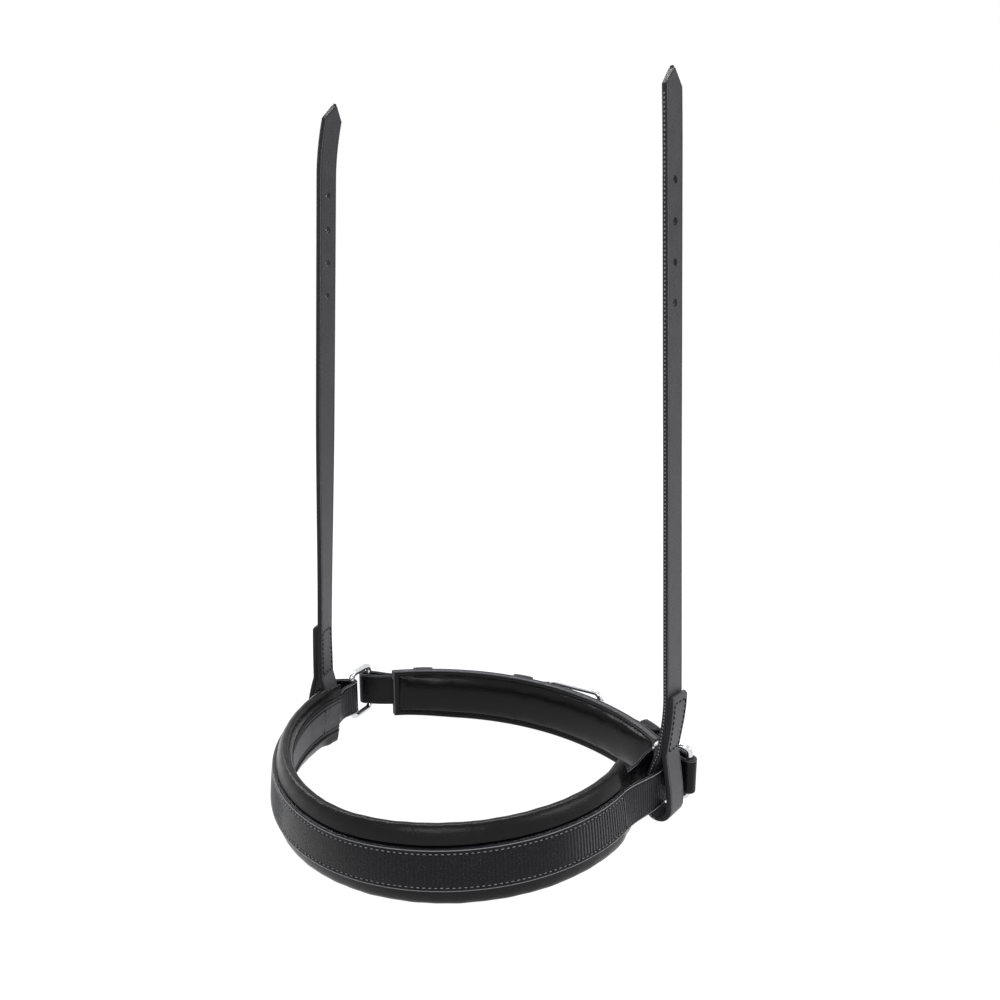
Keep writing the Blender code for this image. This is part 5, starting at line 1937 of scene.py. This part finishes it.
@dataclass
class JawPiece:
    """The padded jaw piece, its straps and its keepers."""

    kit: Kit
    drop: float = 0.9 * MM
    sag: float = 2.2 * MM
    sag_reach: float = 45.0 * MM
    backing: float = 1.6 * MM
    border: float = 4.0 * MM
    puff_reach: float = 26.0 * MM
    seam_reach: float = 0.8 * MM
    seam_depth: float = 0.45 * MM
    gather_reach: float = 5.0 * MM
    gather_depth: float = 0.25 * MM
    rim: float = 1.2 * MM
    overfill: float = 1.2 * MM
    keeper_width: float = 14.0 * MM
    keeper_thickness: float = 1.6 * MM
    keeper_room: float = 0.6 * MM
    keeper_corner: float = 1.7 * MM
    loose_room: float = 1.0 * MM
    loose_angle: float = math.radians(32.2)
    tip_keeper_angle: float = math.radians(-31.9)
    buckle_keeper_angle: float = math.radians(-6.1)
    billet_tip_angle: float = math.radians(-37.0)
    billet_tip: float = 12.0 * MM
    billet_tip_width: float = 8.0 * MM
    climb_foot: float = 24.0 * MM
    climb_head: float = 5.0 * MM
    billet_settle: float = math.radians(21.0)
    slot_height: float = 4.4 * MM
    chape_slot: float = 12.0 * MM
    chape_slot_shift: float = 0.5 * MM
    billet_slot: float = 15.0 * MM
    hole_size: float = 4.0 * MM
    hole_count: int = 3
    hole_first: float = 32.0 * MM
    hole_spacing: float = 20.0 * MM

    @property
    def middle(self) -> float:
        """Height of the pad's middle."""
        return PLAN.jaw_z - self.drop

    @property
    def back(self) -> float:
        """Outward distance of the pad's back."""
        return PLAN.jaw_pad_thickness / 2 - self.backing - PLAN.fit

    @property
    def depth(self) -> float:
        """Distance from the pad's back to its crown."""
        return PLAN.jaw_pad_thickness / 2 + self.back

    @property
    def line(self) -> float:
        """Height of the sewn line over the pad's middle."""
        return PLAN.jaw_pad_height / 2 - self.border

    def build(self) -> None:
        """Build every piece of the jaw assembly."""
        self.build_pad()
        self.build_backing()
        self.build_chape()
        self.build_billet()
        self.build_keeper("keeper_tip", self.tip_keeper_angle, "jaw", closed=False)
        self.build_keeper("keeper_buckle", self.buckle_keeper_angle, "jaw", closed=False)
        self.build_keeper("keeper_loose", self.loose_angle, "keeper", closed=True)

    def build_pad(self) -> None:
        """Make the soft cover: a flat sewn border round a puffed middle."""
        half_high = PLAN.jaw_pad_height / 2
        turn = PLAN.jaw_right - PLAN.jaw_left
        total = turn * PLAN.jaw_inner_radius
        stations = 420
        heights = np.array(spread(-half_high, half_high, 76))
        rows = []
        for station in range(stations + 1):
            angle = PLAN.jaw_left + turn * station / stations
            rows.append(self.pad_row(angle, heights, total * station / stations, total))
        shell = wrap(np.array(rows))
        # across grows to half the pad's height at its edges and ends, and places the painted shade line
        # and the painted border highlight
        steps = np.arange(stations + 1)
        ends = total * np.minimum(steps, stations - steps) / stations
        inset = half_high - np.abs(np.concatenate((heights, [half_high, half_high])))
        shell.across = (half_high - np.minimum(ends[:, None], inset[None, :])).ravel()
        item = make_piece("jaw_pad", shell, (self.kit.finish.glazed,))
        settle(item, "jaw", Slot.SOFT, "jaw_pad_cover", "jaw_pad_foam")
        self.sew_pad(total)

    def puff(self, z: Any, end: float) -> Any:
        """Return how full the pad is, from 0 on its border to 1 in its middle."""
        across = np.clip(1 - np.abs(z / self.line) ** 2.2, 0, 1) ** 0.75
        reach = np.clip((end - self.border) / self.puff_reach, 0, 1)
        return across * (1 - (1 - reach) ** 2.2) ** 0.6

    def pad_row(self, angle: float, heights: np.ndarray, s: float, total: float) -> np.ndarray:
        """Return one station of the pad, from its back edge round its face.

        Args:
            angle: the station.
            heights: heights over the middle.
            s: distance from the left end.
            total: distance from end to end.

        Returns:
            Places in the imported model's frame.
        """
        back, depth, end = self.back, self.depth, min(s, total - s)
        low, half_high = depth * 0.5, PLAN.jaw_pad_height / 2
        level = np.abs(heights)
        inside = level < self.line
        full = self.puff(heights, end)
        long_seam = np.exp(-(((level - self.line) / self.seam_reach) ** 2)) * (end > self.border)
        end_seam = math.exp(-(((end - self.border) / self.seam_reach) ** 2)) * inside
        gather = np.sin(s / (2.9 * MM) + 0.8 * np.sin(s / (11 * MM))) * np.sin(s / (23 * MM) + 0.6)
        near = np.exp(-(((self.line - level) / self.gather_reach) ** 2)) * inside
        face = low + (depth + self.overfill - low) * full
        face = face - self.seam_depth * np.maximum(long_seam, end_seam)
        face = face + self.gather_depth * gather * near * smooth_step(full / 0.3)
        edge = 1 - np.clip((level - (half_high - self.rim)) / self.rim, 0, 1) ** 2
        face = face * (0.35 + 0.65 * np.sqrt(np.clip(edge, 0, 1)))
        face = face * min(1.0, 0.55 + 0.45 * math.sqrt(max(min(end / (1.0 * MM), 1.0), 0.0)))
        out = PLAN.jaw_out(angle)
        base = np.array(PLAN.jaw_centre) + out * PLAN.jaw_radius - ORIGIN
        offsets = np.concatenate((back - face, [back, back]))
        levels = np.concatenate((heights, [heights[-1] - 0.4 * MM, heights[0] + 0.4 * MM]))
        slump = self.sag * float(smooth_step(end / self.sag_reach)) * smooth_step(-levels / half_high)
        plan = base[None, :] + out[None, :] * offsets[:, None]
        return np.column_stack((plan, self.middle + levels - slump))

    def sew_pad(self, total: float) -> None:
        """Sew the pad's border all round, over its distance from end to end."""
        face, line, steps = self.back - self.depth * 0.5 + 0.35 * MM, self.line, 160
        inset = self.border / PLAN.jaw_inner_radius
        angles = spread(PLAN.jaw_left + inset, PLAN.jaw_right - inset, steps)
        facing = np.array([np.append(-PLAN.jaw_out(a), 0.0) for a in angles])
        seams = []
        for sign in (-1, 1):
            run = to_frame([PLAN.jaw_point(a, face) for a in angles], self.middle + sign * line)
            if sign < 0:
                count = np.arange(steps + 1)
                away = np.minimum(count, steps - count) * total / steps + self.border
                share = float(smooth_step(2 * line / PLAN.jaw_pad_height))
                run[:, 2] -= self.sag * smooth_step(away / self.sag_reach) * share
            seams.append(seam_along(run, facing, 2.9 * MM))
        for index in (0, -1):
            plan = PLAN.jaw_point(angles[index], face) - ORIGIN
            run = np.array([(*plan, self.middle + z) for z in spread(-line, line, 8)])
            seams.append(seam_along(run, np.tile(facing[index], (9, 1)), 2.9 * MM))
        self.kit.sew("jaw_pad_stitches", "jaw", Slot.SOFT, seams)

    def build_backing(self) -> None:
        """Make the firm leather behind the pad."""
        middle = PLAN.jaw_pad_thickness / 2 - self.backing / 2
        points = [PLAN.jaw_point(a, middle) for a in spread(PLAN.jaw_left, PLAN.jaw_right, 300)]
        height = PLAN.jaw_pad_height - 2 * PLAN.fit
        section = StrapSection(height, self.backing, 0.15 * MM, 2.4 * MM)
        shell = plan_sweep(points, section, 1.0 * MM, flip=True, middle=self.middle)
        item = make_piece("jaw_backing", shell, (self.kit.finish.black,))
        settle(item, "jaw", Slot.SOFT, "jaw_pad_backing")

    def chape_path(self) -> list[np.ndarray]:
        """Return the plan line of the strap that holds the buckle."""
        turn = PLAN.hinge_angle
        settle_angle = turn - PLAN.settle_turn
        leave = PLAN.jaw_left + PLAN.jaw_leave
        outwards, right = PLAN.jaw_out(turn), PLAN.jaw_way(turn)
        points = [PLAN.jaw_point(settle_angle, PLAN.layer_one)]
        fold = fold_round(PLAN.hinge(), PLAN.chape_fold, right, -outwards)
        points += blend(points[0], PLAN.jaw_way(settle_angle), fold[0], right)
        points += fold[1:]
        over = PLAN.jaw_point(settle_angle, PLAN.layer_two)
        points += blend(fold[-1], -right, over, -PLAN.jaw_way(settle_angle))
        points += [PLAN.jaw_point(a, PLAN.layer_two) for a in spread(settle_angle, leave, 80)[1:]]
        bar = PLAN.far_bar(LEFT)
        reach = unit(bar - PLAN.jaw_point(leave, PLAN.layer_one))
        inner = np.array((-reach[1], reach[0]))
        ring_fold = PLAN.ring_bar + PLAN.fit + PLAN.jaw_strap_thickness / 2
        round_ring = fold_round(bar + reach * PLAN.ring_slack, ring_fold, reach, -inner)
        round_ring.insert(0, round_ring[0] - reach * PLAN.ring_slack)
        round_ring.append(round_ring[-1] - reach * PLAN.ring_slack)
        points += blend(points[-1], -PLAN.jaw_way(leave), round_ring[0], reach)
        points += round_ring[1:]
        under = PLAN.jaw_point(leave, PLAN.layer_one)
        points += blend(round_ring[-1], -reach, under, PLAN.jaw_way(leave))
        gap = PLAN.fit / PLAN.jaw_radius
        last = settle_angle - gap
        points += [PLAN.jaw_point(a, PLAN.layer_one) for a in spread(leave, last, 80)[1:]]
        return points

    def billet_path(self) -> list[np.ndarray]:
        """Return the plan line of the strap that the buckle fastens."""
        thick, turn = PLAN.jaw_strap_thickness, PLAN.hinge_angle
        start = turn + (PLAN.chape_fold + thick) / PLAN.jaw_radius
        leave = PLAN.jaw_right - PLAN.jaw_leave
        under = turn + self.climb_foot / PLAN.jaw_radius
        over = PLAN.chape_fold + thick + PLAN.fit + self.keeper_room
        outwards, right = PLAN.jaw_out(turn), PLAN.jaw_way(turn)
        points = [PLAN.jaw_point(a, PLAN.layer_one) for a in spread(start, leave, 100)]
        bar = PLAN.far_bar(RIGHT)
        reach = unit(bar - points[-1])
        inner = np.array((reach[1], -reach[0]))
        ring_fold = PLAN.ring_bar + PLAN.fit + thick / 2
        round_ring = fold_round(bar, ring_fold, reach, inner)
        points += blend(points[-1], PLAN.jaw_way(leave), round_ring[0], reach)
        points += round_ring[1:]
        proud = PLAN.jaw_point(self.loose_angle, self.loose_layer)
        proud_way = -PLAN.jaw_way(self.loose_angle)
        points += blend(round_ring[-1], -reach, proud, proud_way)
        settled = PLAN.jaw_point(self.billet_settle, PLAN.layer_two)
        points += blend(proud, proud_way, settled, -PLAN.jaw_way(self.billet_settle))
        settling = spread(self.billet_settle, under, 20)[1:]
        points += [PLAN.jaw_point(a, PLAN.layer_two) for a in settling]
        above = PLAN.hinge() + outwards * over + right * self.climb_head
        points += blend(points[-1], -PLAN.jaw_way(under), above, -right, 48)
        points.append(above - right * self.climb_head)
        rest_angle = turn - PLAN.settle_turn
        rest = PLAN.jaw_point(rest_angle, PLAN.layer_three)
        points += blend(points[-1], -right, rest, -PLAN.jaw_way(rest_angle))
        last = self.billet_tip_angle
        points += [PLAN.jaw_point(a, PLAN.layer_three) for a in spread(rest_angle, last, 120)[1:]]
        return points

    @property
    def loose_layer(self) -> float:
        """Offset of the billet's middle inside the loose keeper."""
        return PLAN.layer_two + PLAN.fit + self.keeper_thickness + self.loose_room

    def cut_boxes(self, item: Any, boxes: Sequence[tuple]) -> None:
        """Cut slots and holes through a strap and keep the result as its mesh.

        Args:
            item: the strap.
            boxes: for each, its centre, its outward direction, its length along
                the strap, its height and its depth. Its ends are round.
        """
        shape = bmesh.new()
        for centre, outwards, length, height, depth in boxes:
            along = Vector(np.cross(UP, outwards))
            radius = height / 2
            hubs = (length / 2 - radius) if length > height else 0.0
            outline = []
            for sign in (1, -1):
                for angle in spread(-math.pi / 2, math.pi / 2, 10):
                    level = sign * (hubs + radius * math.cos(angle))
                    rise = sign * radius * math.sin(angle)
                    outline.append((level, rise))
            rings = []
            for side in (-1, 1):
                base = Vector(centre) + Vector(outwards) * (side * depth / 2)
                rings.append([shape.verts.new(base + along * a + Vector((0, 0, z))) for a, z in outline])
            for index in range(len(outline)):
                after = (index + 1) % len(outline)
                shape.faces.new((rings[0][index], rings[0][after], rings[1][after], rings[1][index]))
            shape.faces.new(rings[0])
            shape.faces.new(rings[1])
        bmesh.ops.remove_doubles(shape, verts=shape.verts, dist=1e-7)
        bmesh.ops.recalc_face_normals(shape, faces=shape.faces)
        cut_out(item, shape)

    def strap_section(self) -> StrapSection:
        """Return the section that both jaw straps share."""
        return StrapSection(
            PLAN.jaw_strap_width, PLAN.jaw_strap_thickness, 0.16 * MM, 1.7 * MM, 0.0, 0.0, 1.0 * MM
        )

    def build_chape(self) -> None:
        """Make the strap that holds the buckle, with a slot for the tongue."""
        path, section = self.chape_path(), self.strap_section()
        shell = plan_sweep(path, section, 0.6 * MM, flip=True, middle=PLAN.jaw_z)
        item = make_piece("chape_leather", shell, (self.kit.finish.black,))
        way = PLAN.jaw_out(PLAN.hinge_angle)
        spot = PLAN.hinge() + PLAN.jaw_way(PLAN.hinge_angle) * self.chape_slot_shift
        self.cut_boxes(item, [self.tongue_slot(spot, way, self.chape_slot)])
        settle(item, "jaw", Slot.SOFT, "buckle_strap")

    def tongue_slot(self, spot: np.ndarray, way: np.ndarray, length: float) -> tuple:
        """Return a slot for the tongue at a plan point, for cut_boxes."""
        place = np.append(spot - ORIGIN, PLAN.jaw_z)
        return place, np.append(way, 0.0), length, self.slot_height, 4 * PLAN.chape_fold

    def build_billet(self) -> None:
        """Make the strap that the buckle fastens, punched and with a round tip."""
        points = self.billet_path()
        total = resample(points, 0.6 * MM)[1][-1]

        def width(spots: np.ndarray) -> np.ndarray:
            """Return the share of the full width at distances along."""
            share = np.clip((total - spots) / self.billet_tip, 0, 1)
            bulge = np.sqrt(np.clip(1 - (1 - share) ** 2, 0, 1))
            low = self.billet_tip_width / PLAN.jaw_strap_width
            return low + (1 - low) * bulge

        shell = plan_sweep(points, self.strap_section(), 0.6 * MM, width, middle=PLAN.jaw_z)
        item = make_piece("billet_leather", shell, (self.kit.finish.black,))
        turn = PLAN.hinge_angle
        outwards, right = PLAN.jaw_out(turn), PLAN.jaw_way(turn)
        middle = (self.climb_foot + self.climb_head) / 2
        spot = PLAN.hinge() + right * middle + outwards * (PLAN.chape_fold / 2)
        boxes = [self.tongue_slot(spot, outwards, self.billet_slot)]
        for index in range(self.hole_count):
            angle = turn - (self.hole_first + self.hole_spacing * index) / PLAN.jaw_radius
            place = np.append(PLAN.jaw_point(angle, PLAN.layer_three) - ORIGIN, PLAN.jaw_z)
            way, size = np.append(PLAN.jaw_out(angle), 0.0), self.hole_size
            boxes.append((place, way, size, size, 1.5 * PLAN.jaw_strap_thickness))
        self.cut_boxes(item, boxes)
        settle(item, "jaw", Slot.SOFT, "billet_strap")

    def build_keeper(self, name: str, angle: float, body: str, closed: bool) -> None:
        """Make one keeper across the straps.

        Args:
            name: its node.
            angle: where it sits on the jaw arc.
            body: the body that it rides on.
            closed: whether it goes right round the strap.
        """
        thick = self.keeper_thickness
        if closed:
            low = self.loose_layer - PLAN.jaw_strap_thickness / 2
            high = self.loose_layer + PLAN.jaw_strap_thickness / 2
            room = self.loose_room
        else:
            low = PLAN.jaw_pad_thickness / 2 + PLAN.fit
            high = PLAN.layer_three + PLAN.jaw_strap_thickness / 2
            room = self.keeper_room
        side = PLAN.jaw_strap_width / 2 + room + thick / 2
        top = high + room + thick / 2
        corner = self.keeper_corner
        hubs = [(top - corner, -side + corner, -math.pi / 2), (top - corner, side - corner, 0.0)]
        line = [] if closed else [np.array((low, -side))]
        for out, z, first in hubs:
            for turn in spread(first, first + math.pi / 2, 8):
                line.append(np.array((out + corner * math.cos(turn), z + corner * math.sin(turn))))
        if closed:
            base = low - room - thick / 2
            for z, first in ((side - corner, math.pi / 2), (corner - side, math.pi)):
                for turn in spread(first, first + math.pi / 2, 8):
                    out = base + corner + corner * math.cos(turn)
                    line.append(np.array((out, z + corner * math.sin(turn))))
            line.append(line[0])
        else:
            line.append(np.array((low, side)))
        even, spots = resample(line, 0.5 * MM)
        if closed:
            even, spots = even[:-1], spots[:-1]
        ways = line_ways(even, closed)
        out3 = np.append(PLAN.jaw_out(angle), 0.0)
        right3 = np.append(PLAN.jaw_way(angle), 0.0)
        base3 = np.append(PLAN.jaw_point(angle, 0.0) - ORIGIN, PLAN.jaw_z)
        centres = base3 + even[:, :1] * out3 + even[:, 1:] * UP
        normals = ways[:, 1:] * out3 - ways[:, :1] * UP
        across = np.tile(right3, (len(even), 1))
        section = StrapSection(self.keeper_width, thick, 0.14 * MM, 1.5 * MM, 0.25 * MM)
        shell = sweep(centres, across, normals, section, spots, closed=closed)
        item = make_piece(f"{name}_leather", shell, (self.kit.finish.black,))
        settle(item, body, Slot.SOFT, name)


# Studio


def seen_ray(tree: bpy.types.NodeTree) -> Any:
    """Return 1 for camera, glossy and transmission rays, so that metal mirrors the white."""
    rays = add_node(tree, "ShaderNodeLightPath")
    mirror = add_node(
        tree,
        "ShaderNodeMath",
        {0: rays.outputs["Is Glossy Ray"], 1: rays.outputs["Is Transmission Ray"]},
        operation="MAXIMUM",
    )
    either = add_node(
        tree, "ShaderNodeMath", {0: rays.outputs["Is Camera Ray"], 1: mirror}, operation="MAXIMUM"
    )
    return either


@dataclass
class Studio:
    """The camera, the pale floor and the soft light."""

    camera_place: tuple[float, float, float] = (0.2780, -0.4342, 0.3111)
    azimuth: float = math.radians(29.67)
    pitch: float = math.radians(13.87)
    lens: float = 33.8
    floor_size: float = 6.0

    def build(self) -> None:
        """Build the camera, the floor, the world and the lamps."""
        self.build_camera()
        self.build_floor()
        self.build_world()
        self.add_lamp("top_strip", (-0.35, 0.55, 1.5), (0.0, -0.05, 0.03), (2.0, 0.09), 26.0)
        self.add_lamp("left_softbox", (-1.4, 0.1, 0.9), (0.0, 0.0, 0.1), (0.5, 0.25), 6.5)
        self.add_lamp("right_softbox", (1.5, 0.2, 0.7), (0.0, 0.0, 0.1), (0.5, 0.25), 5.0)
        self.add_lamp("front_strip", (0.7, -1.4, 0.9), (0.0, -0.1, 0.05), (0.5, 0.12), 6.0)
        bpy.context.scene.view_settings.view_transform = "Standard"

    def build_camera(self) -> None:
        """Stand the camera where the picture was taken from."""
        data = bpy.data.cameras.new("camera")
        data.lens = self.lens
        data.sensor_width = 36.0
        data.clip_start = 0.01
        item = new_object("camera", data)
        level = Vector((-math.sin(self.azimuth), math.cos(self.azimuth), 0.0))
        forward = level * math.cos(self.pitch) + Vector((0, 0, -math.sin(self.pitch)))
        item.location = self.camera_place
        item.rotation_euler = forward.to_track_quat("-Z", "Y").to_euler()
        bpy.context.scene.camera = item

    def build_floor(self) -> None:
        """Lay a plain pale floor that keeps a faint shadow."""
        data = bpy.data.meshes.new("floor")
        half = self.floor_size / 2
        corners = [(-half, -half), (half, -half), (half, half), (-half, half)]
        data.from_pydata([(x, y, -0.5 * MM) for x, y in corners], [], [(0, 1, 2, 3)])
        material, tree, shader = new_material("pale_floor")
        matte = {"Base Color": (0.9, 0.9, 0.9, 1), "Roughness": 0.9, "Specular IOR Level": 0.0}
        fill(tree, shader, matte)
        white = add_node(tree, "ShaderNodeEmission", {"Color": (1, 1, 1, 1), "Strength": 1.14})
        seen = add_node(tree, "ShaderNodeMath", {0: seen_ray(tree), 1: 0.86}, operation="MULTIPLY")
        mixed = add_node(tree, "ShaderNodeMixShader", {0: seen, 1: shader, 2: white})
        fill(tree, tree.nodes["Material Output"], {"Surface": mixed})
        data.materials.append(material)
        new_object("floor", data)

    def build_world(self) -> None:
        """Fill the world with white for the camera and a dimmer light otherwise."""
        world = bpy.data.worlds.new("studio")
        bpy.context.scene.world = world
        world.use_nodes = True
        tree = world.node_tree
        plain = tree.nodes["Background"]
        fill(tree, plain, {"Color": (1, 1, 1, 1), "Strength": 0.28})
        white = add_node(tree, "ShaderNodeBackground", {"Color": (1, 1, 1, 1), "Strength": 1.0})
        mixed = add_node(tree, "ShaderNodeMixShader", {0: seen_ray(tree), 1: plain, 2: white})
        fill(tree, tree.nodes["World Output"], {"Surface": mixed})

    def add_lamp(
        self,
        name: str,
        place: Sequence[float],
        aim: Sequence[float],
        size: tuple[float, float],
        power: float,
    ) -> None:
        """Hang one softbox.

        Args:
            name: its name.
            place: where it hangs.
            aim: what it points at.
            size: its two sides, the first one level.
            power: its power in watts.
        """
        data = bpy.data.lights.new(name, "AREA")
        data.shape = "RECTANGLE"
        data.size, data.size_y = size
        data.energy = power
        item = new_object(name, data)
        item.location = place
        way = Vector(aim) - Vector(place)
        item.rotation_euler = way.to_track_quat("-Z", "Y").to_euler()


def main() -> None:
    """Build the noseband in its studio and log each piece's face count."""
    logging.basicConfig(level=logging.INFO, format="%(name)s: %(message)s")
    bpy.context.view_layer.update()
    kit = Kit()
    Studio().build()
    NosePiece(kit).build()
    Hardware(kit).build()
    for side in (LEFT, RIGHT):
        CheekStrap(kit, side).build()
    JawPiece(kit).build()


if __name__ == "__main__":
    main()
